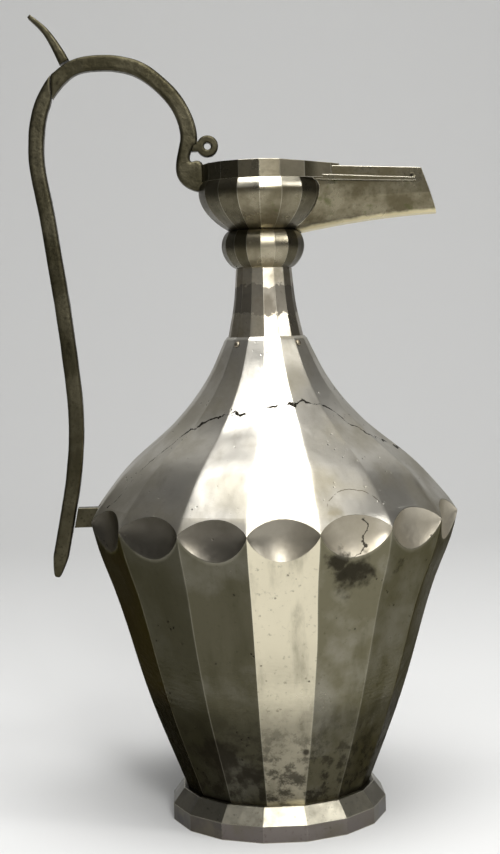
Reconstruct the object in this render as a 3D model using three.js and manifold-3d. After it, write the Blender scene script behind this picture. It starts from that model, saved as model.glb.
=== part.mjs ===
// Sixteen-sided sheet-metal ewer with an open trough spout and a tall hooked handle.
// Millimetres, +Z up. The origin is the centre of the foot's underside, on the vessel's axis.
// The spout points along +X and the handle stands on the -X side.
import * as THREE from 'three';
import { mergeVertices } from 'three/addons/utils/BufferGeometryUtils.js';
import Module from 'manifold-3d';

const wasm = await Module();
wasm.setup();

// General sizes
const FACETS = 16;
const WALL = 1.2;
const SEAT_GAP = 0.3;
const LARGEST_INSET = 2.2;

// Foot: a hollow ring with an upright band and a sloping top, closed below by a thin plate
const FOOT_RADIUS = 46.3;
const FOOT_BAND = 7;
const FOOT_HEIGHT = 13.5;
const FOOT_TOP_RADIUS = 41.4;
const FOOT_BORE_RADIUS = 36.5;
const BASE_PLATE_THICKNESS = 1.5;

// Lower body, measured on its ridges
const BODY_HEIGHT = 116;
const BODY_BASE_RADIUS = 39.6;
const BODY_BELLY_RADIUS = 54.3;
const BODY_BELLY_HEIGHT = 38.5;
const BODY_BREAST_RADIUS = 68.3;
const BODY_BREAST_HEIGHT = 86.5;
const BODY_ROWS = 9;
const GIRTH_RADIUS = 77.6;
const FLARE_RADIUS = 74.6;
const FLARE_DROP = 11.5;

// Ring of lens-shaped hollows at the widest level, one on each facet
const LENS_RISE = 6.3;
const LENS_DROP = 10.4;
const LENS_DEPTH = 2.8;
const LENS_COLUMNS = 8;
const LENS_ROWS = 4;

// Shoulder: a concave trumpet from the widest level to the neck
const SHOULDER_LIP = 0.5;
const SHOULDER_RADIUS = 74.2;
const SHOULDER_HEIGHT = 68.5;
const SHOULDER_TOP_RADIUS = 16.9;
// Radius, and height above the foot of the shoulder
const SHOULDER_CURVE = [[60, 15.6], [40.3, 32.7], [26.4, 49.7]];
const SHOULDER_ROWS = 14;

// Neck tube, tucked into the top of the shoulder and riveted there
const LAP_LENGTH = 7.8;
const LAP_WALL = 0.6;
const LAP_ROWS = 3;
const NECK_HEIGHT = 28.8;
const NECK_MIDDLE_RADIUS = 13.2;
const NECK_MIDDLE_HEIGHT = 13.6;
const NECK_TOP_RADIUS = 11.8;
const NECK_ROWS = 6;
const RIVET_RADIUS = 1.4;
const RIVET_DOME = 0.8;
const RIVET_EDGE_DISTANCE = 3;
const RIVET_STEPS = 4;
const RIVET_SEGMENTS = 12;
const RIVET_FACETS = [-6, -2, 2, 6];

// Knop: a hollow bulb between the neck and the cup
const KNOP_HEIGHT = 15.8;
const KNOP_RADIUS = 17.5;
const KNOP_TOP_RADIUS = 14.2;
const KNOP_FULLNESS = 0.6;
const KNOP_ROWS = 8;

// Cup with an upright rim collar
const CUP_HEIGHT = 20.6;
const CUP_RADIUS = 26.9;
const CUP_RIM_RADIUS = 25.6;
const CUP_WIDEST_SHARE = 0.85;
const CUP_FULLNESS = 0.9;
const CUP_ROWS = 10;
const COLLAR_RADIUS = 25;
const COLLAR_HEIGHT = 7.3;
const COLLAR_DIP = 2;

// Spout: an open trough whose keel reaches further out than its lips
const SPOUT_LIP_ROOT = 12;
const SPOUT_LIP_REACH = 66.7;
const SPOUT_LIP_FALL = 1.7;
const SPOUT_KEEL_ROOT = 13.6;
const SPOUT_KEEL_REACH = 73.7;
const SPOUT_KEEL_BULGE = 2.4;
const SPOUT_ROOT_HALF_WIDTH = 16;
const SPOUT_TIP_HALF_WIDTH = 7.5;
const SPOUT_ROOT_DEPTH = 28;
const SPOUT_TIP_DEPTH = 19;
const SPOUT_FULLNESS = 2.3;
const SPOUT_OVERRUN = 12;
const SPOUT_STATIONS = 8;
const SPOUT_SIDES = 12;

// Beads: a strip along each side of the spout below its lip
const BEAD_THICKNESS = 0.8;
const BEAD_LOWER_DISTANCE = 6.3;
const BEAD_ROOT_HEIGHT = 3.1;
const BEAD_TIP_HEIGHT = 2.1;
const BEAD_END_SHARE = 0.92;
const BEAD_STATIONS = 6;

// Handle: one bent bar in two lengths, joined by a slanting scarf near the top of the back
const BAR_HALF_WIDTH = 3.4;
const BAR_HALF_THICKNESS = 3.2;
const BAR_CHAMFER = 1.1;
// Middle of the bar's back: reach beyond the girth, and height over the cusps, from the tail up
const BACK_LINE = [
  [14.3, -24.6], [9.6, -2.5], [5.1, 22.5], [3.9, 44.5], [6.8, 80.5], [12.4, 124.5],
  [16.5, 155.5], [12.2, 176.5],
];
// Middle of the bar's arch: reach beyond the cup, and height over the collar, down to the heel
const ARCH_LINE = [
  [51.6, 41.1], [38.1, 43.3], [24.6, 40.9], [13.3, 32.7], [6.3, 23.2], [3.2, 12.7], [4.4, 3.7],
];
const TAIL_LENGTH = 9;
const TAIL_HALF_WIDTH = 0.7;
const TAIL_THICKNESS_SHARE = 0.5;
const LARGEST_CHAMFER_SHARE = 0.45;
const SCARF_SHARE = 0.71;
const SCARF_LEAN = 0.9;
const SCARF_LENGTH = 9;
const BACK_STATIONS = 30;
const ARCH_STATIONS = 24;

// Heel: the lobe that ends the bar against the cup, with a prong over the collar
const HEEL_HALF_WIDTH = 4.4;
const HEEL_GROWTH = 24;
const HEEL_THICKNESS = 6.6;
const HEEL_DEPTH = 10.6;
const HEEL_TIP_REACH = 26.4;
const HEEL_ROOT_REACH = 20.5;
const HEEL_ROUNDING = 4;
const HEEL_EDGE = 0.6;
const HEEL_SEGMENTS = 10;
const PRONG_REACH = 23.4;
const PRONG_RISE = 1.9;

// Thumb rest, curling back and up from the first point of the arch
const THUMB_LINE = [[16.5, 22], [10.2, 16.1], [5.5, 8.8], [1.7, 1.2]];
const THUMB_TIP_HALF_WIDTH = 0.85;
const THUMB_BASE_HALF_WIDTH = 2.6;
const THUMB_HALF_THICKNESS = 2.9;
const THUMB_STATIONS = 10;

// Eye of the lost lid's hinge, on a short stem from the bar
const EYE_RADIUS = 4.4;
const EYE_HOLE_RADIUS = 1.4;
const EYE_THICKNESS = 5;
const EYE_STEM_HALF_HEIGHT = 2;
const EYE_REACH = 22.3;
const EYE_HEIGHT_OVER_RIM = 8.1;
const EYE_SEGMENTS = 24;

// Peg between the bar and the body
const BRACKET_HEIGHT = 8.2;
const BRACKET_THICKNESS = 5.6;
const BRACKET_RISE = 0.6;
const BRACKET_ROWS = 4;

// Levels that follow from the heights above
const CUSP_Z = FOOT_HEIGHT + BODY_HEIGHT;
const SHOULDER_Z = CUSP_Z + LENS_RISE + SHOULDER_LIP;
const LAP_Z = SHOULDER_Z + SHOULDER_HEIGHT;
const KNOP_Z = LAP_Z + NECK_HEIGHT;
const CUP_Z = KNOP_Z + KNOP_HEIGHT;
const RIM_Z = CUP_Z + CUP_HEIGHT;
const COLLAR_TOP_Z = RIM_Z + COLLAR_HEIGHT;
const LIP_Z = COLLAR_TOP_Z - COLLAR_DIP;
const FACET_ANGLE = (2 * Math.PI) / FACETS;
const APOTHEM = Math.cos(FACET_ANGLE / 2);

// Metals
const SILVER = { color: 0xb3ada0, roughness: 0.36, metalness: 0.92 };
const BROWN_SILVER = { color: 0x8f877a, roughness: 0.42, metalness: 0.9 };
const DARK_BRONZE = { color: 0x5d564a, roughness: 0.5, metalness: 0.85 };

// Solid helpers

function solidFrom(positions) {
  const geometry = new THREE.BufferGeometry();
  geometry.setAttribute('position', new THREE.Float32BufferAttribute(positions, 3));
  return toSolid(geometry);
}

function toSolid(source) {
  const geometry = source.clone();
  geometry.deleteAttribute('normal');
  geometry.deleteAttribute('uv');
  const merged = mergeVertices(geometry, 1e-4);
  const index = Array.from(merged.index.array);
  const triVerts = [];
  for (let i = 0; i < index.length; i += 3) {
    const [a, b, c] = index.slice(i, i + 3);
    if (a !== b && b !== c && c !== a) triVerts.push(a, b, c);
  }
  const mesh = new wasm.Mesh({
    numProp: 3,
    vertProperties: new Float32Array(merged.attributes.position.array),
    triVerts: new Uint32Array(triVerts),
  });
  return new wasm.Manifold(mesh);
}

function toGeometry(solid) {
  const mesh = solid.getMesh();
  const geometry = new THREE.BufferGeometry();
  geometry.setAttribute('position', new THREE.BufferAttribute(mesh.vertProperties.slice(), 3));
  geometry.setIndex(new THREE.BufferAttribute(mesh.triVerts.slice(), 1));
  geometry.computeVertexNormals();
  return geometry;
}

// Joins two closed rings of points by triangles, span by span, when their counts differ
function stitch(out, lower, upper, spans) {
  const lowerStep = lower.length / spans;
  const upperStep = upper.length / spans;
  for (let span = 0; span < spans; span += 1) {
    let i = 0;
    let j = 0;
    while (i < lowerStep || j < upperStep) {
      const a = lower[(span * lowerStep + i) % lower.length];
      const b = upper[(span * upperStep + j) % upper.length];
      const stepLower = j === upperStep || (i < lowerStep && (i + 1) / lowerStep <= (j + 1) / upperStep);
      if (stepLower) {
        i += 1;
        out.push(a, lower[(span * lowerStep + i) % lower.length], b);
      } else {
        j += 1;
        out.push(a, upper[(span * upperStep + j) % upper.length], b);
      }
    }
  }
}

function cap(out, ring, facesBack) {
  for (let i = 1; i < ring.length - 1; i += 1) {
    const pair = facesBack ? [ring[i + 1], ring[i]] : [ring[i], ring[i + 1]];
    out.push(ring[0], ...pair);
  }
}

// A chain of rings either closes on itself, as a sleeve does, or is capped at both ends
function ringSolid(rings, { loop = false, spans = rings[0].length } = {}) {
  const corners = [];
  for (let i = 0; i < rings.length - 1; i += 1) stitch(corners, rings[i], rings[i + 1], spans);
  if (loop) {
    stitch(corners, rings[rings.length - 1], rings[0], spans);
  } else {
    cap(corners, rings[0], true);
    cap(corners, rings[rings.length - 1], false);
  }
  if (signedVolume(corners) < 0) corners.reverse();
  return solidFrom(corners.flatMap((point) => [point.x, point.y, point.z]));
}

function signedVolume(corners) {
  let total = 0;
  for (let i = 0; i < corners.length; i += 3) {
    total += corners[i].dot(corners[i + 1].clone().cross(corners[i + 2]));
  }
  return total;
}

// Faceted vessel helpers

function ridgeAngle(index) {
  return (index + 0.5) * FACET_ANGLE;
}

function facetRing(radius, z) {
  const ring = [];
  for (let i = 0; i < FACETS; i += 1) {
    const angle = ridgeAngle(i);
    ring.push(new THREE.Vector3(radius * Math.cos(angle), radius * Math.sin(angle), z));
  }
  return ring;
}

function inset(ring, distance) {
  return ring.map((point) => {
    const radius = Math.hypot(point.x, point.y);
    const scale = (radius - distance) / radius;
    return new THREE.Vector3(point.x * scale, point.y * scale, point.z);
  });
}

// Profiles are smooth curves through [radius, height] keys
function profile(keys) {
  const curve = new THREE.SplineCurve(keys.map(([radius, z]) => new THREE.Vector2(radius, z)));
  return (rows) => pinEnds(curve.getSpacedPoints(rows), keys[0], keys[keys.length - 1]);
}

function pinEnds(points, first, last) {
  points[0].set(...first);
  points[points.length - 1].set(...last);
  return points;
}

function radiusAt(points, z) {
  for (let i = 1; i < points.length; i += 1) {
    const [low, high] = [points[i - 1], points[i]];
    if (z <= high.y) return low.x + ((high.x - low.x) * (z - low.y)) / (high.y - low.y);
  }
  return points[points.length - 1].x;
}

function slopeAt(points, row) {
  const low = points[Math.max(row - 1, 0)];
  const high = points[Math.min(row + 1, points.length - 1)];
  return (high.x - low.x) / (high.y - low.y);
}

// Sheet thickness is kept square to the profile, so a steep stretch insets further
function innerProfile(points, wall) {
  return points.map((point, row) => {
    const steepness = Math.hypot(1, slopeAt(points, row));
    const reach = wall(point.y) * Math.min(steepness, LARGEST_INSET);
    return new THREE.Vector2(point.x - reach, point.y);
  });
}

function sleeve(outer, inner) {
  const outerRings = outer.map((point) => facetRing(point.x, point.y));
  const innerRings = inner.map((point) => facetRing(point.x, point.y)).reverse();
  return ringSolid([...outerRings, ...innerRings], { loop: true });
}

function plug(points, clearance) {
  return ringSolid(points.map((point) => facetRing(point.x + clearance, point.y)));
}

const steadyWall = () => WALL;

// Foot

function footRing() {
  const rings = [
    facetRing(FOOT_RADIUS, 0),
    facetRing(FOOT_RADIUS, FOOT_BAND),
    facetRing(FOOT_TOP_RADIUS, FOOT_HEIGHT),
    facetRing(FOOT_BORE_RADIUS, FOOT_HEIGHT),
    facetRing(FOOT_BORE_RADIUS, 0),
  ];
  return ringSolid(rings, { loop: true });
}

function basePlate() {
  const radius = FOOT_BORE_RADIUS - SEAT_GAP;
  return ringSolid([facetRing(radius, 0), facetRing(radius, BASE_PLATE_THICKNESS)]);
}

// Lower body with its ring of lens-shaped hollows

const bodyProfile = profile([
  [BODY_BASE_RADIUS, FOOT_HEIGHT],
  [BODY_BELLY_RADIUS, FOOT_HEIGHT + BODY_BELLY_HEIGHT],
  [BODY_BREAST_RADIUS, FOOT_HEIGHT + BODY_BREAST_HEIGHT],
  [FLARE_RADIUS, CUSP_Z - FLARE_DROP],
])(BODY_ROWS);

// A point on the flat facet, where side runs from -1 at one ridge to 1 at the next
function facetPoint(facet, side, radius, z) {
  const [from, to] = [ridgeAngle(facet), ridgeAngle(facet + 1)];
  const share = (side + 1) / 2;
  const x = THREE.MathUtils.lerp(Math.cos(from), Math.cos(to), share);
  const y = THREE.MathUtils.lerp(Math.sin(from), Math.sin(to), share);
  return new THREE.Vector3(x * radius, y * radius, z);
}

function lensPoint(facet, side, level) {
  const bow = 1 - side * side;
  const lowZ = CUSP_Z - LENS_DROP * bow;
  const highZ = CUSP_Z + LENS_RISE * bow;
  const lowRadius = GIRTH_RADIUS - ((GIRTH_RADIUS - FLARE_RADIUS) * LENS_DROP * bow) / FLARE_DROP;
  const fall = (GIRTH_RADIUS - SHOULDER_RADIUS) / (LENS_RISE + SHOULDER_LIP);
  const highRadius = GIRTH_RADIUS - fall * LENS_RISE * bow;
  const point = facetPoint(facet, side, lowRadius, lowZ);
  point.lerp(facetPoint(facet, side, highRadius, highZ), level);
  const middle = ridgeAngle(facet + 0.5);
  const depth = LENS_DEPTH * bow * 4 * level * (1 - level);
  point.x -= depth * Math.cos(middle);
  point.y -= depth * Math.sin(middle);
  return point;
}

function lensRing(level) {
  const ring = [];
  for (let facet = 0; facet < FACETS; facet += 1) {
    for (let column = 0; column < LENS_COLUMNS; column += 1) {
      ring.push(lensPoint(facet, (2 * column) / LENS_COLUMNS - 1, level));
    }
  }
  return ring;
}

function bodySkin() {
  const rings = bodyProfile.map((point) => facetRing(point.x, point.y));
  for (let row = 0; row <= LENS_ROWS; row += 1) rings.push(lensRing(row / LENS_ROWS));
  rings.push(facetRing(SHOULDER_RADIUS, SHOULDER_Z));
  return rings;
}

function lowerBody() {
  const outer = bodySkin();
  const inner = outer.map((ring) => inset(ring, WALL));
  const floor = facetRing(radiusAt(bodyProfile, FOOT_HEIGHT + WALL) - WALL, FOOT_HEIGHT + WALL);
  inner[0] = floor;
  return ringSolid([...outer, ...inner.reverse()], { spans: FACETS });
}

// Reach and height up the middle of the facet that faces the handle
function facingProfile() {
  const points = bodyProfile.map((point) => new THREE.Vector2(point.x * APOTHEM, point.y));
  for (let row = 0; row <= LENS_ROWS; row += 1) {
    const point = lensPoint(FACETS / 2 - 1, 0, row / LENS_ROWS);
    points.push(new THREE.Vector2(-point.x, point.z));
  }
  points.push(new THREE.Vector2(SHOULDER_RADIUS * APOTHEM, SHOULDER_Z));
  return points;
}

// Shoulder and neck

const shoulderProfile = profile([
  [SHOULDER_RADIUS, SHOULDER_Z],
  ...SHOULDER_CURVE.map(([radius, rise]) => [radius, SHOULDER_Z + rise]),
  [SHOULDER_TOP_RADIUS, LAP_Z],
])(SHOULDER_ROWS);

// The shoulder's sheet is thinned where it laps over the neck tube
function shoulderWall(z) {
  const share = (z - LAP_Z + 2 * LAP_LENGTH) / LAP_LENGTH;
  return THREE.MathUtils.lerp(WALL, LAP_WALL, THREE.MathUtils.clamp(share, 0, 1));
}

const shoulderInner = innerProfile(shoulderProfile, shoulderWall);

function shoulder() {
  return sleeve(shoulderProfile, shoulderInner);
}

function neckProfile() {
  const tucked = [];
  for (let row = 0; row < LAP_ROWS; row += 1) {
    const z = LAP_Z - LAP_LENGTH * (1 - row / LAP_ROWS);
    tucked.push(new THREE.Vector2(radiusAt(shoulderInner, z) - SEAT_GAP, z));
  }
  const lapRadius = radiusAt(shoulderInner, LAP_Z) - SEAT_GAP;
  const open = profile([
    [lapRadius, LAP_Z],
    [NECK_MIDDLE_RADIUS, LAP_Z + NECK_MIDDLE_HEIGHT],
    [NECK_TOP_RADIUS, KNOP_Z],
  ])(NECK_ROWS);
  return [...tucked, ...open];
}

function neckTube() {
  const outer = neckProfile();
  return sleeve(outer, innerProfile(outer, steadyWall));
}

function rivetGeometry() {
  const dome = [new THREE.Vector2(0, 0), new THREE.Vector2(RIVET_RADIUS, 0)];
  for (let step = 1; step < RIVET_STEPS; step += 1) {
    const angle = (Math.PI * step) / (2 * RIVET_STEPS);
    dome.push(new THREE.Vector2(RIVET_RADIUS * Math.cos(angle), RIVET_DOME * Math.sin(angle)));
  }
  dome.push(new THREE.Vector2(0, RIVET_DOME));
  return toGeometry(toSolid(new THREE.LatheGeometry(dome, RIVET_SEGMENTS)));
}

// Stands a rivet head on the middle of one facet, square to its slope
function placeRivet(mesh, facet) {
  const z = LAP_Z - RIVET_EDGE_DISTANCE;
  const radius = radiusAt(shoulderProfile, z) * APOTHEM;
  const slope = slopeAt(shoulderProfile, SHOULDER_ROWS) * APOTHEM;
  const angle = facet * FACET_ANGLE;
  const normal = new THREE.Vector3(Math.cos(angle), Math.sin(angle), -slope).normalize();
  mesh.position.set(radius * Math.cos(angle), radius * Math.sin(angle), z);
  mesh.position.addScaledVector(normal, SEAT_GAP);
  mesh.quaternion.setFromUnitVectors(new THREE.Vector3(0, 1, 0), normal);
}

// Knop, cup and collar

function knopProfile() {
  const points = [];
  for (let row = 0; row <= KNOP_ROWS; row += 1) {
    const share = (1 - Math.cos((Math.PI * row) / KNOP_ROWS)) / 2;
    const straight = THREE.MathUtils.lerp(NECK_TOP_RADIUS, KNOP_TOP_RADIUS, share);
    const bulge = KNOP_RADIUS - (NECK_TOP_RADIUS + KNOP_TOP_RADIUS) / 2;
    const swell = bulge * Math.sin(Math.PI * Math.min(share, 1 - 1e-9)) ** KNOP_FULLNESS;
    points.push(new THREE.Vector2(straight + (swell || 0), KNOP_Z + KNOP_HEIGHT * share));
  }
  return pinEnds(points, [NECK_TOP_RADIUS, KNOP_Z], [KNOP_TOP_RADIUS, CUP_Z]);
}

function cupProfile() {
  const points = [];
  for (let row = 0; row <= CUP_ROWS; row += 1) {
    const share = 1 - Math.cos((Math.PI * row) / (2 * CUP_ROWS));
    const climb = Math.min(share / CUP_WIDEST_SHARE, 1);
    const turn = Math.max((share - CUP_WIDEST_SHARE) / (1 - CUP_WIDEST_SHARE), 0);
    const swell = (1 - (1 - climb) ** 2) ** CUP_FULLNESS;
    const radius = THREE.MathUtils.lerp(KNOP_TOP_RADIUS, CUP_RADIUS, swell);
    const rounded = radius - (CUP_RADIUS - CUP_RIM_RADIUS) * turn ** 2;
    points.push(new THREE.Vector2(rounded, CUP_Z + CUP_HEIGHT * share));
  }
  return pinEnds(points, [KNOP_TOP_RADIUS, CUP_Z], [CUP_RIM_RADIUS, RIM_Z]);
}

// Collar corners, dipping towards the spout along their top edge
function collarRing(radius, z, dip) {
  const ring = facetRing(radius, z);
  for (const point of ring) point.z -= dip * Math.max(point.x / radius, 0) ** 2;
  return ring;
}

function collarShell() {
  const inside = COLLAR_RADIUS - WALL;
  const rings = [
    collarRing(COLLAR_RADIUS, RIM_Z, 0),
    collarRing(COLLAR_RADIUS, COLLAR_TOP_Z, COLLAR_DIP),
    collarRing(inside, COLLAR_TOP_Z, COLLAR_DIP),
    collarRing(inside, RIM_Z, 0),
  ];
  return ringSolid(rings, { loop: true });
}

// Everything from the knop to the collar as one solid, grown all round, to trim what leans on it
function headEnvelope(clearance) {
  const points = [...knopProfile(), ...cupProfile().slice(1)];
  points.push(new THREE.Vector2(COLLAR_RADIUS, RIM_Z + clearance));
  points.push(new THREE.Vector2(COLLAR_RADIUS, COLLAR_TOP_Z + clearance));
  return plug(points, clearance);
}

// Spout

const keelCurve = new THREE.QuadraticBezierCurve(
  new THREE.Vector2(SPOUT_KEEL_ROOT, LIP_Z - SPOUT_ROOT_DEPTH),
  new THREE.Vector2(
    (SPOUT_KEEL_ROOT + SPOUT_KEEL_REACH) / 2,
    LIP_Z - (SPOUT_ROOT_DEPTH + SPOUT_TIP_DEPTH + SPOUT_LIP_FALL) / 2 + SPOUT_KEEL_BULGE,
  ),
  new THREE.Vector2(SPOUT_KEEL_REACH, LIP_Z - SPOUT_LIP_FALL - SPOUT_TIP_DEPTH),
);

function spoutFrame(share) {
  const keel = keelCurve.getPoint(share);
  return {
    lip: new THREE.Vector3(
      THREE.MathUtils.lerp(SPOUT_LIP_ROOT, SPOUT_LIP_REACH, share),
      0,
      LIP_Z - SPOUT_LIP_FALL * share,
    ),
    keel: new THREE.Vector3(keel.x, 0, keel.y),
    halfWidth: THREE.MathUtils.lerp(SPOUT_ROOT_HALF_WIDTH, SPOUT_TIP_HALF_WIDTH, share),
  };
}

// Cross-section of the trough: a full round bottom with upright sides
function spoutSection(share, thinning) {
  const { lip, keel, halfWidth } = spoutFrame(share);
  const bottom = keel.clone().add(new THREE.Vector3(0, 0, thinning));
  const ring = [];
  for (let side = 0; side <= SPOUT_SIDES; side += 1) {
    const angle = (Math.PI * side) / SPOUT_SIDES;
    const down = Math.max(Math.sin(angle), 0) ** (2 / SPOUT_FULLNESS);
    const across = Math.abs(Math.cos(angle)) ** (2 / SPOUT_FULLNESS) * Math.sign(Math.cos(angle));
    const point = lip.clone().lerp(bottom, down < 1e-9 ? 0 : down);
    point.y = (halfWidth - thinning) * across;
    ring.push(point);
  }
  return ring;
}

function spoutBlock() {
  const rings = [];
  for (let station = 0; station <= SPOUT_STATIONS; station += 1) {
    rings.push(spoutSection(station / SPOUT_STATIONS, 0));
  }
  return ringSolid(rings);
}

// The hollow of the trough, run on above the lips and past the tip
function spoutChannel() {
  const rings = [];
  for (let station = 0; station <= SPOUT_STATIONS + 1; station += 1) {
    const ring = spoutSection(station / SPOUT_STATIONS, WALL);
    const raised = [ring[ring.length - 1], ring[0]].map((point) => point.clone());
    for (const point of raised) point.z = COLLAR_TOP_Z + SPOUT_OVERRUN;
    rings.push([...ring, ...raised]);
  }
  return ringSolid(rings);
}

function spout() {
  return spoutBlock().subtract(spoutChannel()).subtract(headEnvelope(SEAT_GAP));
}

// A point on the outside of the trough's wall, at a distance below the lip
function spoutWallPoint(share, distance, stand, side) {
  const { lip, keel, halfWidth } = spoutFrame(share);
  const down = distance / lip.distanceTo(keel);
  const point = lip.clone().lerp(keel, down);
  point.y = side * (halfWidth * (1 - down ** SPOUT_FULLNESS) ** (1 / SPOUT_FULLNESS) + stand);
  return point;
}

function spoutBead(side) {
  const rings = [];
  for (let station = 0; station <= BEAD_STATIONS; station += 1) {
    const share = (BEAD_END_SHARE * station) / BEAD_STATIONS;
    const height = THREE.MathUtils.lerp(BEAD_ROOT_HEIGHT, BEAD_TIP_HEIGHT, share);
    const upper = BEAD_LOWER_DISTANCE - height;
    const out = SEAT_GAP + BEAD_THICKNESS;
    const round = BEAD_THICKNESS / 2;
    rings.push([
      spoutWallPoint(share, upper, SEAT_GAP, side),
      spoutWallPoint(share, upper + round, out, side),
      spoutWallPoint(share, BEAD_LOWER_DISTANCE - round, out, side),
      spoutWallPoint(share, BEAD_LOWER_DISTANCE, SEAT_GAP, side),
    ]);
  }
  return ringSolid(rings).subtract(headEnvelope(SEAT_GAP));
}

function cup() {
  const outer = cupProfile();
  return sleeve(outer, innerProfile(outer, steadyWall)).subtract(spoutChannel());
}

function knop() {
  const outer = knopProfile();
  return sleeve(outer, innerProfile(outer, steadyWall));
}

function rimCollar() {
  return collarShell().subtract(spoutChannel());
}

// Handle

// Points of a line in the handle's plane, measured outwards and upwards from a place
function linePoints(line, reach, z) {
  return line.map(([out, up]) => new THREE.Vector3(-reach - out, 0, z + up));
}

function smoothCurve(points) {
  return new THREE.CatmullRomCurve3(points, false, 'centripetal');
}

const archPoints = linePoints(ARCH_LINE, CUP_RADIUS, COLLAR_TOP_Z);
const barCurve = smoothCurve([...linePoints(BACK_LINE, GIRTH_RADIUS, CUSP_Z), ...archPoints]);
const barLength = barCurve.getLength();

// Chamfered rectangular sections along a curve, each turned by lean within the handle's plane
function barSolid(curve, stations, shape) {
  const rings = [];
  for (let station = 0; station <= stations; station += 1) {
    const { share, halfWidth, halfThickness, lean = 0 } = shape(station / stations);
    const centre = curve.getPointAt(share);
    const along = curve.getTangentAt(share);
    const across = new THREE.Vector3(-along.z, 0, along.x);
    across.multiplyScalar(Math.cos(lean)).addScaledVector(along, Math.sin(lean));
    const width = halfWidth / Math.cos(lean);
    const chamfer = Math.min(BAR_CHAMFER, LARGEST_CHAMFER_SHARE * Math.min(halfWidth, halfThickness));
    const corners = [
      [width, halfThickness - chamfer],
      [width - chamfer, halfThickness],
      [chamfer - width, halfThickness],
      [-width, halfThickness - chamfer],
      [-width, chamfer - halfThickness],
      [chamfer - width, -halfThickness],
      [width - chamfer, -halfThickness],
      [width, chamfer - halfThickness],
    ];
    rings.push(corners.map(([side, depth]) => {
      const point = centre.clone().addScaledVector(across, side);
      point.y = depth;
      return point;
    }));
  }
  return ringSolid(rings);
}

function barSize(share, growth) {
  const fromTail = THREE.MathUtils.clamp((share * barLength) / TAIL_LENGTH, 0, 1);
  const toHeel = THREE.MathUtils.smoothstep(share * barLength, barLength - HEEL_GROWTH, barLength);
  const taper = Math.sqrt(fromTail);
  const width = THREE.MathUtils.lerp(TAIL_HALF_WIDTH, BAR_HALF_WIDTH, taper);
  return {
    halfWidth: width + (HEEL_HALF_WIDTH - BAR_HALF_WIDTH) * toHeel + growth,
    halfThickness: BAR_HALF_THICKNESS * THREE.MathUtils.lerp(TAIL_THICKNESS_SHARE, 1, taper) + growth,
  };
}

function scarfLean(share) {
  const distance = Math.abs(share - SCARF_SHARE) * barLength;
  return SCARF_LEAN * (1 - THREE.MathUtils.smoothstep(distance, 0, SCARF_LENGTH));
}

function barBetween(from, to, stations, growth = 0) {
  return barSolid(barCurve, stations, (part) => {
    const share = THREE.MathUtils.lerp(from, to, part);
    return { share, lean: scarfLean(share), ...barSize(share, growth) };
  });
}

const scarfGapShare = SEAT_GAP / Math.cos(SCARF_LEAN) / barLength;

function handleBack(growth = 0) {
  return barBetween(0, SCARF_SHARE, BACK_STATIONS, growth);
}

function handleArch(growth = 0) {
  return barBetween(SCARF_SHARE + scarfGapShare, 1, ARCH_STATIONS, growth);
}

function thumbRest() {
  const curve = smoothCurve(linePoints(THUMB_LINE, -archPoints[0].x, archPoints[0].z));
  const whole = barSolid(curve, THUMB_STATIONS, (share) => ({
    share,
    halfWidth: THREE.MathUtils.lerp(THUMB_TIP_HALF_WIDTH, THUMB_BASE_HALF_WIDTH, share),
    halfThickness: THUMB_HALF_THICKNESS,
  }));
  return whole.subtract(handleBack(SEAT_GAP)).subtract(handleArch(SEAT_GAP));
}

// An outline in the handle's plane, given a thickness across it
function plateSolid(shape, thickness, bevel, curveSegments) {
  const geometry = new THREE.ExtrudeGeometry(shape, {
    depth: thickness - 2 * bevel,
    bevelEnabled: bevel > 0,
    bevelSize: bevel,
    bevelThickness: bevel,
    bevelOffset: -bevel,
    bevelSegments: 1,
    curveSegments,
  });
  geometry.translate(0, 0, bevel - thickness / 2);
  geometry.rotateX(Math.PI / 2);
  return toSolid(geometry);
}

function hingeEye() {
  const z = COLLAR_TOP_Z + EYE_HEIGHT_OVER_RIM;
  const half = EYE_STEM_HALF_HEIGHT;
  const open = Math.asin(half / EYE_RADIUS);
  const barReach = -barCurve.getPointAt(1).x;
  const shape = new THREE.Shape();
  shape.moveTo(-barReach, z + half);
  shape.absarc(-EYE_REACH, z, EYE_RADIUS, Math.PI - open, -Math.PI + open, true);
  shape.lineTo(-barReach, z - half);
  const hole = new THREE.Path();
  hole.absarc(-EYE_REACH, z, EYE_HOLE_RADIUS, 0, 2 * Math.PI, false);
  shape.holes.push(hole);
  return plateSolid(shape, EYE_THICKNESS, 0, EYE_SEGMENTS).subtract(handleArch(SEAT_GAP));
}

function handleHeel() {
  const end = barCurve.getPointAt(1);
  const left = end.x - HEEL_HALF_WIDTH;
  const right = end.x + HEEL_HALF_WIDTH;
  const bottom = COLLAR_TOP_Z - HEEL_DEPTH;
  const prongTop = COLLAR_TOP_Z + PRONG_RISE;
  const shape = new THREE.Shape();
  shape.moveTo(left, end.z - SEAT_GAP);
  shape.bezierCurveTo(
    left, bottom + HEEL_ROUNDING,
    left + HEEL_ROUNDING, bottom,
    -HEEL_TIP_REACH, bottom,
  );
  shape.lineTo(-HEEL_ROOT_REACH, bottom);
  shape.lineTo(-HEEL_ROOT_REACH, COLLAR_TOP_Z);
  shape.lineTo(-PRONG_REACH, COLLAR_TOP_Z);
  shape.lineTo(-PRONG_REACH, prongTop);
  shape.lineTo(right + SEAT_GAP, prongTop);
  shape.lineTo(right, end.z - SEAT_GAP);
  const whole = plateSolid(shape, HEEL_THICKNESS, HEEL_EDGE, HEEL_SEGMENTS);
  return whole.subtract(headEnvelope(SEAT_GAP)).subtract(handleArch(SEAT_GAP));
}

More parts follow.
